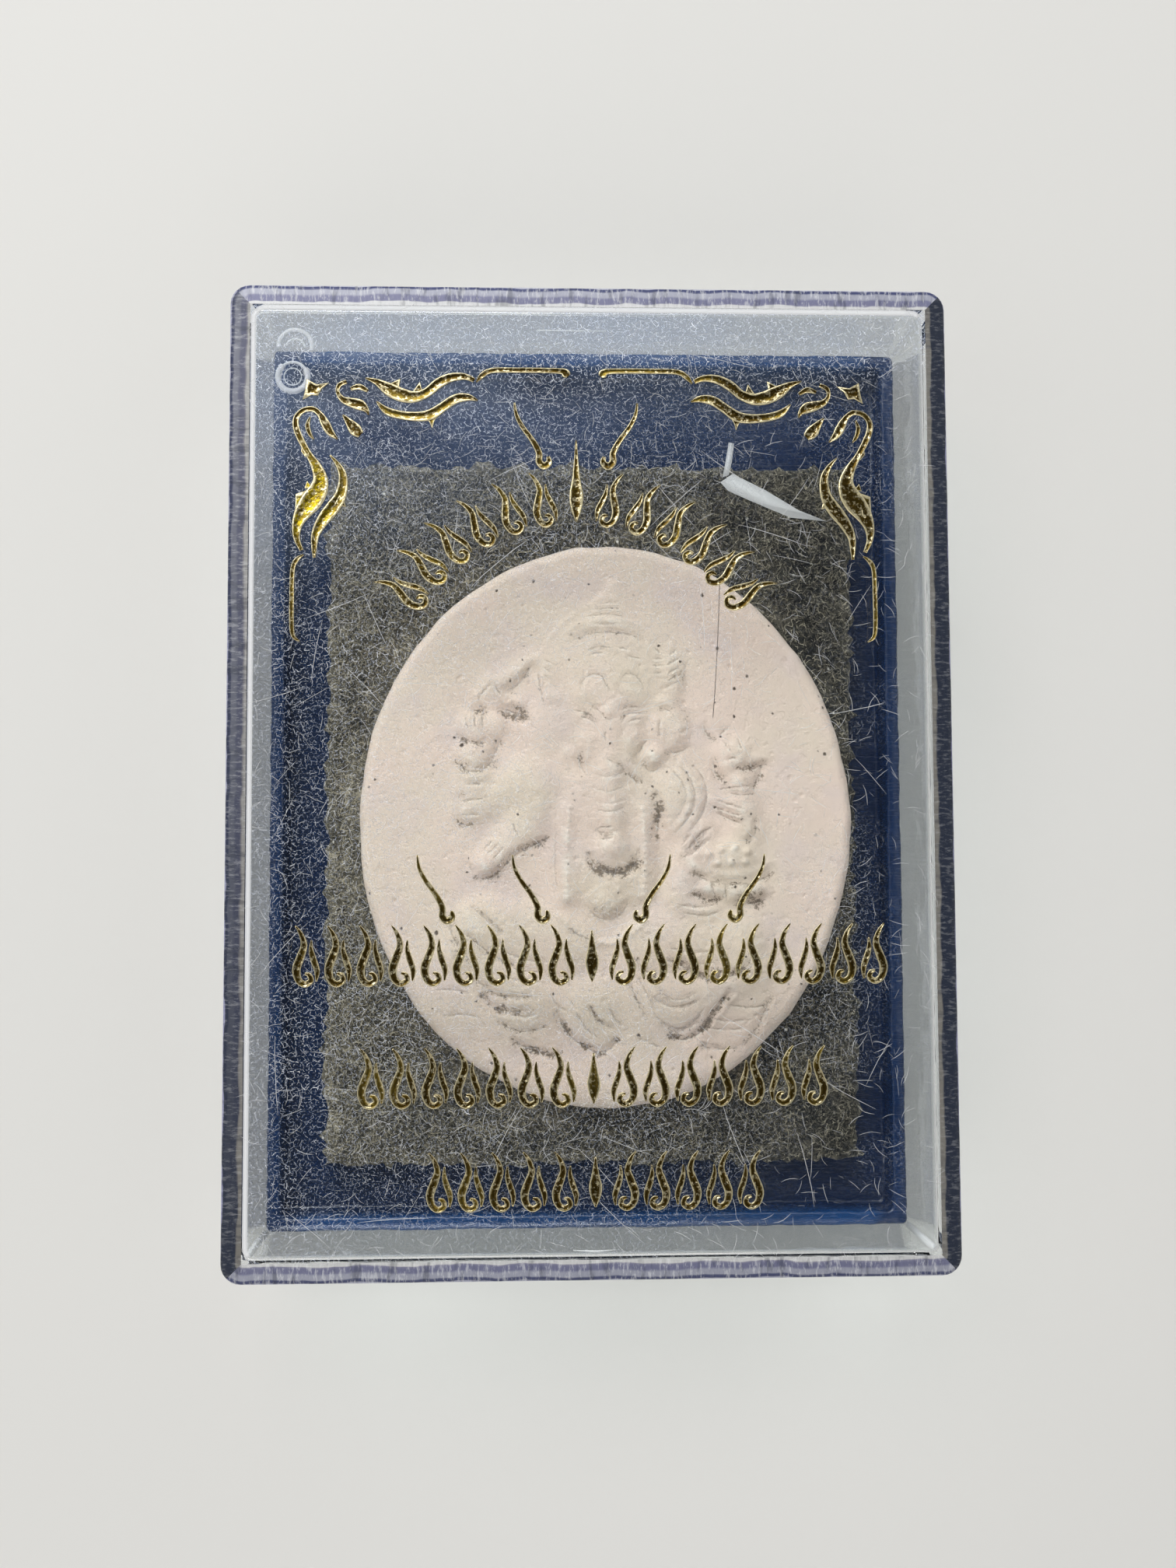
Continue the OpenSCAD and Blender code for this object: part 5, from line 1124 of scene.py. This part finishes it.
def weathered(relief, half_w, half_l):
    """Swells, grain and pits over the pressed figure; gives the fields that colour it, as CLAY_MARKS."""
    figure = np.clip((relief.blurred(relief.h, 0.5) - 0.05) / 0.5, 0, 1)
    rng = np.random.default_rng(7)
    swell = relief.blurred(rng.normal(size=relief.h.shape), 1.6)
    grain = relief.blurred(rng.normal(size=relief.h.shape), 0.14)
    relief.h += 0.03 * swell / swell.std() + (0.004 + 0.009 * figure) * grain / grain.std()
    for _ in range(PITS):
        x, y = rng.uniform(-half_w, half_w), rng.uniform(-half_l, half_l)
        relief.dot(x, y, rng.uniform(0.12, 0.3), -rng.uniform(0.06, 0.18))
    wide = relief.blurred(relief.h, 0.55)
    # Hollows gather grime and painted shade; high spots are lighter by wear and by a painted highlight
    hollow = np.clip((wide - relief.h) / 0.28, 0, 1)
    worn = np.clip((relief.h - wide) / 0.25, 0, 1) * figure
    grime = np.clip(relief.grime + 0.4 * hollow * figure, 0, 1)
    return figure, grime, worn, relief.crease, relief.ink


class AMULET_OT_oval(bpy.types.Operator):
    """Press the oval with the seated figure"""
    bl_idname = "amulet.oval"
    bl_label = "Clay oval"

    def execute(self, context):
        s, looks = plain_sizes(context.scene.amulet_sizes), context.scene.amulet_looks
        half_w, half_l = (AMULET_HIGH - AMULET_LOW)[:2] / 2
        relief = Relief(half_w, half_l, s)
        fields = weathered(relief, half_w, half_l)
        # A square grid, drawn out to a disc and then to the oval
        u, v = np.meshgrid(np.linspace(-1, 1, s.across + 1), np.linspace(-1, 1, s.along + 1))
        px, py = u * np.sqrt(1 - v * v / 2), v * np.sqrt(1 - u * u / 2)
        angle, reach = np.arctan2(py, px), np.hypot(px, py)

        def oval(a, inset):
            """The cast edge wanders a little, and is nicked here and there."""
            inset = inset + 0.09 - 0.05 * (np.sin(5 * a + 1) + 0.7 * np.sin(11 * a + 2) + 0.5 * np.sin(23 * a)
                + 0.35 * np.sin(41 * a + 1))
            return (half_w - inset) * np.cos(a), (half_l - inset) * np.sin(a)

        def slope(a):
            """The sloping edge's width, larger at the figure's foot."""
            return s.slope + s.foot_slope * np.maximum(0, -np.sin(a)) ** 6

        rim_x, rim_y = oval(angle, slope(angle))
        x, y = rim_x * reach, rim_y * reach
        fade = np.clip((1 - np.hypot(x / half_w, y / half_l)) * 12, 0, 1)
        verts = [np.column_stack([a.ravel() for a in (x, y, s.plate + fade * relief.at(relief.h, x, y))])]
        marks = [np.column_stack([relief.at(f, x, y).ravel() for f in fields])]
        quads, path = grid_faces(s.across, s.along)
        faces = [list(f) for f in quads]
        turn = np.arctan2(y.ravel()[path] / half_l, x.ravel()[path] / half_w)
        n, start, last = len(path), len(verts[0]), path
        edge_noise = 0.03 * np.sin(31 * turn) + 0.02 * np.sin(57 * turn + 1)
        # Rings down the edge: share of the slope, more inset, height, share of the edge's noise, wear with
        # its painted highlight
        for share, more, high, uneven, wear in ((0.6, 0, s.plate - 0.1 * s.drop, 1, 0.1),
                (0.2, 0, s.plate - 0.5 * s.drop, 1, 0.5), (0, 0, s.plate - s.drop, 1, 0.1),
                (0, 0, 0.4, 0, 0.1), (0.02, 0.3, 0, 0, 0.1)):
            ox, oy = oval(turn, slope(turn) * share + more)
            verts.append(np.column_stack([ox, oy, high + uneven * edge_noise]))
            marks.append(np.tile([0.0, 0.15, wear, 1.0, 0.0], (n, 1)))
            ring = list(range(start, start + n))
            faces += [[last[k], ring[k], ring[(k + 1) % n], last[(k + 1) % n]] for k in range(n)]
            start, last = start + n, ring
        verts.append([[0, 0, 0]])
        marks.append([[0, 0, 0, 1, 0]])
        faces += [[last[(k + 1) % n], last[k], start] for k in range(n)]
        verts = np.vstack(verts) + [AMULET_MID[0], AMULET_MID[1], AMULET_LOW[2]]
        piece = mesh_piece("amulet_clay", verts, faces, pressed_clay(looks),
            attributes=dict(zip(CLAY_MARKS, np.vstack(marks).T)))
        settle(piece, "clay", "amulet")
        return {"FINISHED"}


def strand(turn, step, z, radius):
    """A thin strand about its own middle, from the direction and height at each of its points."""
    px, py = (np.cumsum(way(turn)) * step for way in (np.cos, np.sin))
    return tube(np.column_stack([px - px.mean(), py - py.mean(), z]), radius)


def strand_tree():
    """Scatters copies of a few small shapes over a surface, each turned, tipped and sized at random."""
    tree, given = new_tree("scattered_strands", (("Strands", "Collection"), ("Per square metre", "Float"),
        ("Tip", "Float"), ("Smallest", "Float"), ("Largest", "Float"), ("Seed", "Int"),
        ("Finish", "Material")))
    points = node(tree, "GeometryNodeDistributePointsOnFaces", {"Mesh": given["Geometry"],
        "Density": given["Per square metre"], "Seed": given["Seed"]}, distribute_method="RANDOM")
    strands = node(tree, "GeometryNodeCollectionInfo", {"Collection": given["Strands"],
        "Separate Children": True, "Reset Children": True})
    back = node(tree, "ShaderNodeMath", {0: given["Tip"], 1: -1.0}, operation="MULTIPLY")
    low = node(tree, "ShaderNodeCombineXYZ", {"X": back, "Z": 0.0})
    high = node(tree, "ShaderNodeCombineXYZ", {"X": given["Tip"], "Z": 2 * math.pi})
    turn = node(tree, "FunctionNodeRandomValue", {"Min": low, "Max": high, "Seed": 3},
        data_type="FLOAT_VECTOR")
    size = node(tree, "FunctionNodeRandomValue", {"Min_001": given["Smallest"], "Max_001": given["Largest"],
        "Seed": 5}, data_type="FLOAT")
    placed = node(tree, "GeometryNodeInstanceOnPoints", {"Points": points, "Instance": strands,
        "Pick Instance": True, "Rotation": turn, "Scale": size})
    real = node(tree, "GeometryNodeRealizeInstances", {"Geometry": placed})
    done = node(tree, "GeometryNodeSetMaterial", {"Geometry": real, "Material": given["Finish"]})
    node(tree, "NodeGroupOutput", {"Geometry": done})
    return tree


def scatter(name, surface, shapes, per_mm2, tip, sizes, seed, material):
    """Copies of small shapes over a surface, as a plain mesh."""
    group = bpy.data.collections.new(name)
    for k, (verts, faces) in enumerate(shapes):
        mesh = plain_mesh(f"{name}_{k}", verts, faces)
        mesh.shade_smooth()
        group.objects.link(bpy.data.objects.new(f"{name}_{k}", mesh))
    values = {"Strands": group, "Per square metre": per_mm2 / MM ** 2, "Tip": tip, "Smallest": sizes[0],
        "Largest": sizes[1], "Seed": seed, "Finish": material}
    piece = grown(surface, strand_tree(), name, values, list(group.objects))
    bpy.data.collections.remove(group)
    return piece


class AMULET_OT_pad(bpy.types.Operator):
    """Lay the felt pad and its loose fibres"""
    bl_idname = "amulet.pad"
    bl_label = "Felt pad"

    def execute(self, context):
        looks, sizes = context.scene.amulet_looks, context.scene.case_sizes
        rng = np.random.default_rng(11)
        mid, half = (PAD_LOW + PAD_HIGH)[:2] / 2, (PAD_HIGH - PAD_LOW)[:2] / 2
        nx, ny = PAD_CELLS
        u, v = np.meshgrid(np.linspace(-1, 1, nx + 1), np.linspace(-1, 1, ny + 1))

        def lumps(k):
            """Smooth random lumps k cells wide."""
            field = rng.normal(size=(ny // k + 2, nx // k + 2))
            fy, fx = np.meshgrid(np.arange(ny + 1) / k, np.arange(nx + 1) / k, indexing="ij")
            j, i = fy.astype(int), fx.astype(int)
            a, b = fy - j, fx - i
            return between(field, j, i, a * a * (3 - 2 * a), b * b * (3 - 2 * b))

        fine = lumps(2)
        rough = 0.12 * fine + 0.1 * lumps(5) + 0.1 * lumps(14)
        fray = 0.28 * fine
        x = mid[0] + u * (half[0] - 0.5) + np.where(np.abs(u) == 1, fray, 0)
        y = mid[1] + v * (half[1] - 0.5) + np.where(np.abs(v) == 1, fray, 0)
        # The felt lies flat under the oval, stands free round it and drops at its own edge
        ax, ay = (AMULET_HIGH - AMULET_LOW)[:2] / 2 + 0.3
        out = np.hypot((x - AMULET_MID[0]) / ax, (y - AMULET_MID[1]) / ay)
        free = np.clip((out - 1) * 8, 0, 1)
        aside = np.maximum(np.abs(u), np.abs(v))
        edge = np.clip((1 - aside) * 9, 0, 1) ** 0.6
        top = PAD_HIGH[2] + free * (0.35 + np.clip(rough, -0.5, 0.6)) - 0.9 * (1 - edge)
        count = (nx + 1) * (ny + 1)
        verts = np.vstack([np.column_stack([a.ravel() for a in (x, y, z)])
            for z in (top, np.full_like(top, PAD_LOW[2]))])
        quads, path = grid_faces(nx, ny)
        faces = [list(f) for f in quads] + [list(f[::-1] + count) for f in quads]
        n = len(path)
        faces += [[path[k], path[k] + count, path[(k + 1) % n] + count, path[(k + 1) % n]] for k in range(n)]
        pad = mesh_piece("felt_pad", verts, faces, wool_felt(looks))
        settle(pad, "felt", "pad")

        bare = (free.ravel()[quads].min(1) > 0.6) & (aside.ravel()[quads].max(1) < 0.985)
        area = 4 * half[0] * half[1] * bare.mean()
        arch = 0.06 + 0.14 * np.sin(np.linspace(0, math.pi, BENDS))
        for name, amount, light, seed in (("felt_fibres_pale", sizes.pale_fibres, 0.1, 4),
                ("felt_fibres_dark", sizes.dark_fibres, -0.08, 6)):
            shapes = []
            for _ in range(7):
                turn, step = np.cumsum(rng.uniform(-1.0, 1.0, BENDS)), rng.uniform(0.17, 0.28)
                shapes.append(strand(turn, step, arch + rng.uniform(-0.04, 0.04, BENDS), 0.032))
            surface = plain_mesh("felt_top", verts[:count], quads[bare])
            fibres = scatter(name, surface, shapes, amount / area, 0.22, (0.55, 1.5), seed,
                wool_felt(looks, name + "_wool", light))
            settle(fibres, "felt")
        return {"FINISHED"}


def moulded(name, w, l, s, rows, material, sharp):
    """A closed shell from rows of inset from the full width and length, and height."""
    verts, faces = shell([(w - a, l - a, s.corner if a < 1 else s.inner, z) for a, z in rows])
    return mesh_piece(name, verts, faces, material, sharp=sharp)


class AMULET_OT_tray(bpy.types.Operator):
    """Mould the navy tray"""
    bl_idname = "amulet.tray"
    bl_label = "Navy tray"

    def execute(self, context):
        s, looks = plain_sizes(context.scene.case_sizes), context.scene.amulet_looks
        w, l, _ = TRAY_HIGH - TRAY_LOW
        top, out = TRAY_HIGH[2], 2 * (s.wall + s.play)
        rows = [(0.5, 0), (0.15, 0.07), (0, 0.25), (0, s.flange - 0.25), (0.15, s.flange - 0.07),
            (0.5, s.flange), (out - 0.1, s.flange), (out, s.flange + 0.1), (out, top - 0.3),
            (out + 0.18, top - 0.08), (out + 0.6, top)]
        inside = out + 2 * s.rim
        rows += [(inside - 0.5, top), (inside - 0.15, top - 0.08), (inside, top - 0.25),
            (inside, s.floor + 0.5), (inside + 0.15, s.floor + 0.15), (inside + 0.6, s.floor)]
        piece = moulded("tray_navy", w, l, s, rows, navy_polystyrene(looks), 50)
        settle(piece, "tray_plastic", "base")
        return {"FINISHED"}


def lid_body(s, looks):
    """The clear lid, open below."""
    wall, foot = 2 * s.wall, LID_LOW[2]
    rows = [(wall + 0.5, s.ceiling), (wall + 0.1, s.ceiling - 0.1), (wall, s.ceiling - 0.35),
        (wall, foot + 0.2), (wall - 0.1, foot), (0.3, foot), (0, foot + 0.2), (0, LID_TOP - 0.5),
        (0.1, LID_TOP - 0.22), (0.34, LID_TOP - 0.06), (0.9, LID_TOP)]
    piece = moulded("lid_clear", LID_W, LID_L, s, rows, clear_polystyrene(looks), 60)
    settle(piece, "clear_plastic", "lid")


def lid_marks(s, looks):
    """Moulding marks under the top, drawn white as the highlights they catch, and painted highlights on the
    upright edges inside the two front corners.
    """
    lines = [(thick, arc(*ring)) for thick, ring in EJECTOR_RINGS] + GATE_MARKS
    parts = [tube([(*p, s.ceiling - 0.16) for p in path], thick, 8) for thick, path in lines]
    x, y = LID_W / 2 - s.wall - 0.3, LID_L / 2 - s.wall - 0.3
    foot = LID_LOW[2] + 4
    for side in (-1, 1):
        spot = [(side * x + dx, -y + dy) for dx, dy in ((-0.2, -0.2), (0.2, -0.2), (0.2, 0.2), (-0.2, 0.2))]
        parts.append(slab(spot, foot, s.ceiling - foot - 0.5))
    verts, faces = joined(parts)
    white = marks_and_highlights_finish("polystyrene_marks_and_painted_highlights", looks.scuff, 0.75, 0.3)
    settle(mesh_piece("lid_moulding_marks", verts, faces, white), "clear_plastic")


def lid_crack(s, looks):
    """The crack: two silvery flakes of split plastic and a hair-thin line."""
    z = s.ceiling - 0.12
    verts, faces = joined([slab(f, z, 0.04) for f in CRACK_FLAKES])
    silver = marks_and_highlights_finish("split_polystyrene_flakes", looks.scuff, 0.5, 0.35)
    settle(mesh_piece("lid_crack_flakes", verts, faces, silver), "clear_plastic")
    verts, faces = tube([(*p, z) for p in smooth_rows(CRACK_LINE, 6)], 0.035, 4)
    dark = marks_and_highlights_finish("split_polystyrene_line", looks.grit, 0.6, 0.4)
    settle(mesh_piece("lid_crack_line", verts, faces, dark), "clear_plastic")


def lid_films(s, looks):
    """Films just outside the lid: its rubbed edge in painted light and shade, its scratched top, and a
    painted highlight along its inner edge.
    """
    # One strip a side, each end given the painted light that its side catches there
    parts, pale, along, across = [], [], [], []
    bends = ((0, -0.5, 1, 0), (0.05, -0.22, 0.9, 0.35), (0.17, -0.06, 0.5, 0.85), (0.45, 0, 0, 1),
        (s.wall + 0.05, 0, 0, 1))
    for side, ends in enumerate(EDGE_PAINTED_LIGHT):
        section = [(a - far * nx, LID_TOP + z + far * nz)
            for far, rows in ((FILM_OVER, bends), (FILM_UNDER, bends[::-1])) for a, z, nx, nz in rows]
        parts.append(edge_strip(side, LID_W, LID_L, s.corner, section))
        spots = np.asarray(parts[-1][0])[:, side % 2]
        pale += list(np.interp(spots, (-LID_W / 2, LID_W / 2), ends))
        along += list(spots * MM)
        across += list(np.repeat([a * MM for a, _ in section], ARC + 1))
    verts, faces = joined(parts)
    piece = mesh_piece("lid_rubbed_edge", verts, faces, rubbed_edge_in_painted_light(looks), sharp=60,
        attributes={"pale": pale, "along": along, "across": across})
    settle(piece, "clear_plastic", film=True)

    outline = rounded(LID_W - 2 * s.wall - 0.2, LID_L - 2 * s.wall - 0.2, 0.3)
    verts, faces = slab(outline, LID_TOP + FILM_UNDER, FILM_OVER - FILM_UNDER)
    settle(mesh_piece("lid_scratched_top", verts, faces, scratched_film(looks), sharp=30), "clear_plastic",
        film=True)

    # A painted highlight: the cavity's upper edge shows through the top as a white line, at the back and on
    # the left
    start, end = INNER_HIGHLIGHT
    low = LID_TOP + FILM_OVER + 0.002
    high = low + 0.005
    section = [(start, low), (end, low), (end, high), (start, high)]
    verts, faces = joined([edge_strip(side, LID_W, LID_L, 2.9, section) for side in (0, 1)])
    white = marks_and_highlights_finish("painted_highlight_polystyrene_edge", looks.scuff, 0.6, 0.6)
    settle(mesh_piece("lid_inner_edge_line", verts, faces, white), "clear_plastic", film=True)


def lid_scratches(s, looks):
    """Deep scratches 0.4 to 2 mm long, and a few long ones; 0.02 mm wide in truth, drawn wider to show."""
    rng = np.random.default_rng(23)
    for name, finish, count, step, bend, thick, alpha, inset in (
            ("lid_scratches", "scratched_polystyrene", s.scratches, 0.26, 0.45, 0.018, 0.36, 1.6),
            ("lid_long_scratches", "scored_polystyrene", s.scratches // 24, 1.0, 0.15, 0.022, 0.45, 3.8)):
        x, y = LID_W / 2 - inset, LID_L / 2 - inset
        corners = [(sx * x, sy * y, LID_TOP + 2 * FILM_OVER)
            for sx, sy in ((-1, -1), (1, -1), (1, 1), (-1, 1))]
        shapes = []
        for _ in range(8):
            turn = np.linspace(-bend, bend, BENDS) * rng.uniform(-1, 1) + rng.normal(0, bend / 8, BENDS)
            shapes.append(strand(turn, step, np.zeros(BENDS), thick))
        scuff = marks_and_highlights_finish(finish, looks.scuff, alpha, 0.6)
        scratches = scatter(name, plain_mesh("lid_top_face", corners, [[0, 1, 2, 3]]), shapes,
            count / (4 * x * y), 0.0, (0.4, 1.6), 9, scuff)
        settle(scratches, "clear_plastic", film=True)


class AMULET_OT_lid(bpy.types.Operator):
    """Mould the clear lid with its moulding marks, rubbed edge, scratches and crack"""
    bl_idname = "amulet.lid"
    bl_label = "Clear lid"

    def execute(self, context):
        s, looks = plain_sizes(context.scene.case_sizes), context.scene.amulet_looks
        s.ceiling = LID_TOP - s.top
        for part in (lid_body, lid_marks, lid_crack, lid_films, lid_scratches):
            part(s, looks)
        return {"FINISHED"}


def foil_stroke(rows, z=FOIL_Z):
    """One stroke as a shallow dish along a smooth line: verts, faces, rim values."""
    path = smooth_rows(rows)
    n, k = len(path), len(SECTION)
    ahead = np.gradient(path[:, :2], axis=0)
    ahead /= np.linalg.norm(ahead, axis=1)[:, None]
    verts = [(p[0] + q[1] * share * p[2] / 2, p[1] - q[0] * share * p[2] / 2, z + high * FOIL_T)
        for p, q in zip(path, ahead) for share, high, _ in SECTION]
    faces = [[a + b, a + k + b, a + k + (b + 1) % k, a + (b + 1) % k]
        for a in range(0, (n - 1) * k, k) for b in range(k)]
    faces += [list(range(k)), [(n - 1) * k + b for b in range(k)][::-1]]
    return verts, faces, [rim for _, _, rim in SECTION] * n


def foil_patch(outline, high=1.0):
    """A stamped patch with a raised rim; a low one runs in under the stroke it stands on."""
    pts = np.asarray(outline, float)
    after = np.roll(pts, -1, axis=0)
    if np.sum(pts[:, 0] * after[:, 1] - after[:, 0] * pts[:, 1]) < 0:
        pts = pts[::-1]
    mid, n = pts.mean(0), len(pts)
    verts = [(*(mid + (p - mid) * share), FOIL_Z + up * high * FOIL_T)
        for share, up, _ in PATCH_SECTION for p in pts]
    verts.append((*mid, FOIL_Z + 0.2 * high * FOIL_T))
    faces = [list(range(n))[::-1]]
    faces += [[a + i, a + (i + 1) % n, a + n + (i + 1) % n, a + n + i]
        for a in range(0, 3 * n, n) for i in range(n)]
    faces += [[3 * n + i, 3 * n + (i + 1) % n, 4 * n] for i in range(n)]
    return verts, faces, [rim for _, _, rim in PATCH_SECTION for _ in pts] + [0.0]


def foil_mesh(name, parts, material):
    """One foil piece from strokes and patches."""
    verts, faces = joined([(v, f) for v, f, _ in parts])
    rims = np.concatenate([r for _, _, r in parts])
    return mesh_piece(name, verts, faces, material, attributes={"rim": rims})


def on_side(rows, flip):
    """Rows of the left corner, mirrored for the right one where flip is below 0."""
    return [(x if flip > 0 else 2 * CORNER_MID - x, *rest) for x, *rest in rows]


def sized(rows, k, h, flip=1, at=(0.0, 0.0)):
    """Rows widened by k, raised by h, mirrored by flip, then moved."""
    return [(x * k * flip + at[0], y * h + at[1], width * k) for x, y, width in rows]


def flame_tree():
    """Stands a flame on every point, turned by the point's turn and leaning left where its lean is set."""
    tree, given = new_tree("foil_flames", (("Flame right", "Object"), ("Flame left", "Object"),
        ("Rest", "Object"), ("Finish", "Material")))
    lean, turn = (node(tree, "GeometryNodeInputNamedAttribute", {"Name": key}, data_type="FLOAT")
        for key in ("lean", "turn"))
    upright = node(tree, "ShaderNodeMath", {0: 1.0, 1: lean}, operation="SUBTRACT")
    whole = node(tree, "GeometryNodeJoinGeometry")
    for key, some in (("Flame right", upright), ("Flame left", lean)):
        flame = node(tree, "GeometryNodeObjectInfo", {"Object": given[key]}).outputs["Geometry"]
        placed = node(tree, "GeometryNodeInstanceOnPoints", {"Points": given["Geometry"], "Selection": some,
            "Instance": flame, "Rotation": node(tree, "ShaderNodeCombineXYZ", {"Z": turn})})
        tree.links.new(placed.outputs[0], whole.inputs[0])
    others = node(tree, "GeometryNodeObjectInfo", {"Object": given["Rest"]}).outputs["Geometry"]
    tree.links.new(others, whole.inputs[0])
    real = node(tree, "GeometryNodeRealizeInstances", {"Geometry": whole})
    done = node(tree, "GeometryNodeSetMaterial", {"Geometry": real, "Material": given["Finish"]})
    node(tree, "NodeGroupOutput", {"Geometry": done})
    return tree


def flames(name, cad_node, spots, k, h, rest, gold):
    """A row of foil flames on spots of (x, y, turn, lean), with the row's other strokes."""
    points = plain_mesh(name + "_spots", [(x, y, FOIL_Z) for x, y, _, _ in spots], [])
    for key, column in (("turn", 2), ("lean", 3)):
        points.attributes.new(key, "FLOAT", "POINT").data.foreach_set("value", [s[column] for s in spots])
    both = [foil_mesh(f"{name}_flame_{way}", [foil_stroke(sized(r, k, h, flip), 0.0) for r in FLAME], gold)
        for way, flip in (("right", 1), ("left", -1))]
    others = foil_mesh(name + "_rest", [foil_stroke(r) for r in rest], gold)
    piece = grown(points, flame_tree(), name, {"Flame right": both[0], "Flame left": both[1],
        "Rest": others, "Finish": gold}, (*both, others))
    settle(piece, "gold_foil", cad_node)


class AMULET_OT_foil(bpy.types.Operator):
    """Stamp the gold foil ornament on the lid"""
    bl_idname = "amulet.foil"
    bl_label = "Gold foil"

    def execute(self, context):
        gold = stamped_foil(context.scene.amulet_looks)
        for side, flip in (("left", 1), ("right", -1)):
            parts = [foil_patch(on_side(STAR, flip))]
            parts += [foil_patch(on_side(p, flip), 0.3) for p in THORNS]
            parts += [foil_stroke(on_side(r, flip)) for r in CORNER_STROKES]
            settle(foil_mesh("gold_corner_" + side, parts, gold), "gold_foil", "foil_corner_" + side)

        spots = []
        for i in range(1, ARCH_HALF + 1):
            for flip in (1, -1):
                a = math.radians(flip * i * ARCH_STEP)
                x, y = ARCH_MID[0] + ARCH_R * math.sin(a), ARCH_MID[1] + ARCH_R * math.cos(a)
                spots.append((x, y, -a, flip < 0))
        mx, my = ARCH_MID[0], ARCH_MID[1] + ARCH_R
        rest = [sized(TALL_DROP, 2.2, 1.95, at=(mx, my))]
        rest += [sized(TENDRIL, 1, 1, flip, (mx + flip * 2.6, my + 4.9)) for flip in (-1, 1)]
        flames("gold_arch", "foil_arch", spots, 2.3, 2.2, rest, gold)
        for way, half, k, h, (mx, my), offsets in FLAME_ROWS:
            spots = [(mx + flip * i * k, my, 0.0, flip < 0) for i in range(1, half + 1) for flip in (1, -1)]
            rest = [sized(DROP, k, h, at=(mx, my))]
            rest += [sized(TENDRIL, 1, 1, flip, (mx + flip * x, my + 5.2)) for x in offsets
                for flip in (-1, 1)]
            flames(f"gold_{way}_row", "foil_" + way, spots, k, h, rest, gold)
        return {"FINISHED"}


class AMULET_OT_stage(bpy.types.Operator):
    """Set the floor, the lights and the camera"""
    bl_idname = "amulet.stage"
    bl_label = "Stage"

    def execute(self, context):
        scene, looks = context.scene, context.scene.amulet_looks
        s = FLOOR_HALF
        floor = mesh_piece("floor", [(-s, -s, 0), (s, -s, 0), (s, s, 0), (-s, s, 0)], [[0, 1, 2, 3]],
            paper_floor(looks))
        # The camera hangs over the case, so the lid mirrors a dark patch straight overhead
        world = bpy.data.worlds.new("soft_studio")
        scene.world = world
        world.use_nodes = True
        sky, back = world.node_tree, world.node_tree.nodes["Background"]
        high = node(sky, "ShaderNodeSeparateXYZ", {0: node(sky, "ShaderNodeTexCoord").outputs["Generated"]})
        shade = node(sky, "ShaderNodeMapRange", {"Value": high.outputs["Z"], "From Min": OVERHEAD_FROM,
            "From Max": OVERHEAD_FULL}, interpolation_type="SMOOTHSTEP")
        colour = painted(sky, linear(SKY), (shade, linear(SKY_OVERHEAD)))
        sky.links.new(colour.outputs[2], back.inputs["Color"])
        back.inputs["Strength"].default_value = SKY_STRENGTH
        for name, at, size, power, code in LAMPS:
            data = bpy.data.lights.new(name, "AREA")
            data.shape, data.size, data.size_y = "RECTANGLE", *size
            data.energy, data.color = power, linear(code)[:3]
            turn = Vector(at).to_track_quat("Z", "Y").to_matrix().to_4x4()
            linked(name, data).matrix_world = Matrix.Translation(at) @ turn
        ahead = Vector(CAMERA_AHEAD).normalized()
        right = ahead.cross(Vector(CAMERA_UP)).normalized()
        turn = Matrix((right, right.cross(ahead), -ahead)).transposed().to_4x4()
        data = bpy.data.cameras.new("photo_camera")
        data.sensor_fit, data.sensor_width = "HORIZONTAL", SENSOR
        data.lens = SENSOR * FOCAL_PIXELS / PHOTO_PIXELS
        data.clip_start = 0.01
        scene.camera = linked("photo_camera", data)
        scene.camera.matrix_world = Matrix.Translation(Vector(CAMERA_AT) * MM) @ turn
        scene.view_settings.view_transform = "Standard"
        return {"FINISHED"}


class AMULET_PT_panel(bpy.types.Panel):
    """Sizes, colours and pieces"""
    bl_idname = "AMULET_PT_panel"
    bl_label = "Amulet in case"
    bl_space_type = "VIEW_3D"
    bl_region_type = "UI"
    bl_category = "Amulet"

    def draw(self, context):
        for key in SETTINGS:
            group, box = getattr(context.scene, key), self.layout.box()
            for value in group.__annotations__:
                box.prop(group, value)
        for op in OPERATORS:
            self.layout.operator(op.bl_idname)


SETTINGS = {"amulet_sizes": AmuletSizes, "case_sizes": CaseSizes, "amulet_looks": Looks}
OPERATORS = (AMULET_OT_tray, AMULET_OT_pad, AMULET_OT_oval, AMULET_OT_lid, AMULET_OT_foil, AMULET_OT_stage)
CLASSES = (*SETTINGS.values(), *OPERATORS, AMULET_PT_panel)


def register():
    for c in CLASSES:
        bpy.utils.register_class(c)
    for key, kind in SETTINGS.items():
        setattr(bpy.types.Scene, key, bpy.props.PointerProperty(type=kind))


def unregister():
    for key in SETTINGS:
        delattr(bpy.types.Scene, key)
    for c in reversed(CLASSES):
        bpy.utils.unregister_class(c)


def main():
    register()
    bpy.ops.amulet.tray()
    bpy.ops.amulet.pad()
    bpy.ops.amulet.oval()
    bpy.ops.amulet.lid()
    bpy.ops.amulet.foil()
    bpy.ops.amulet.stage()
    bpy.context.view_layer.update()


if __name__ == "__main__":
    main()
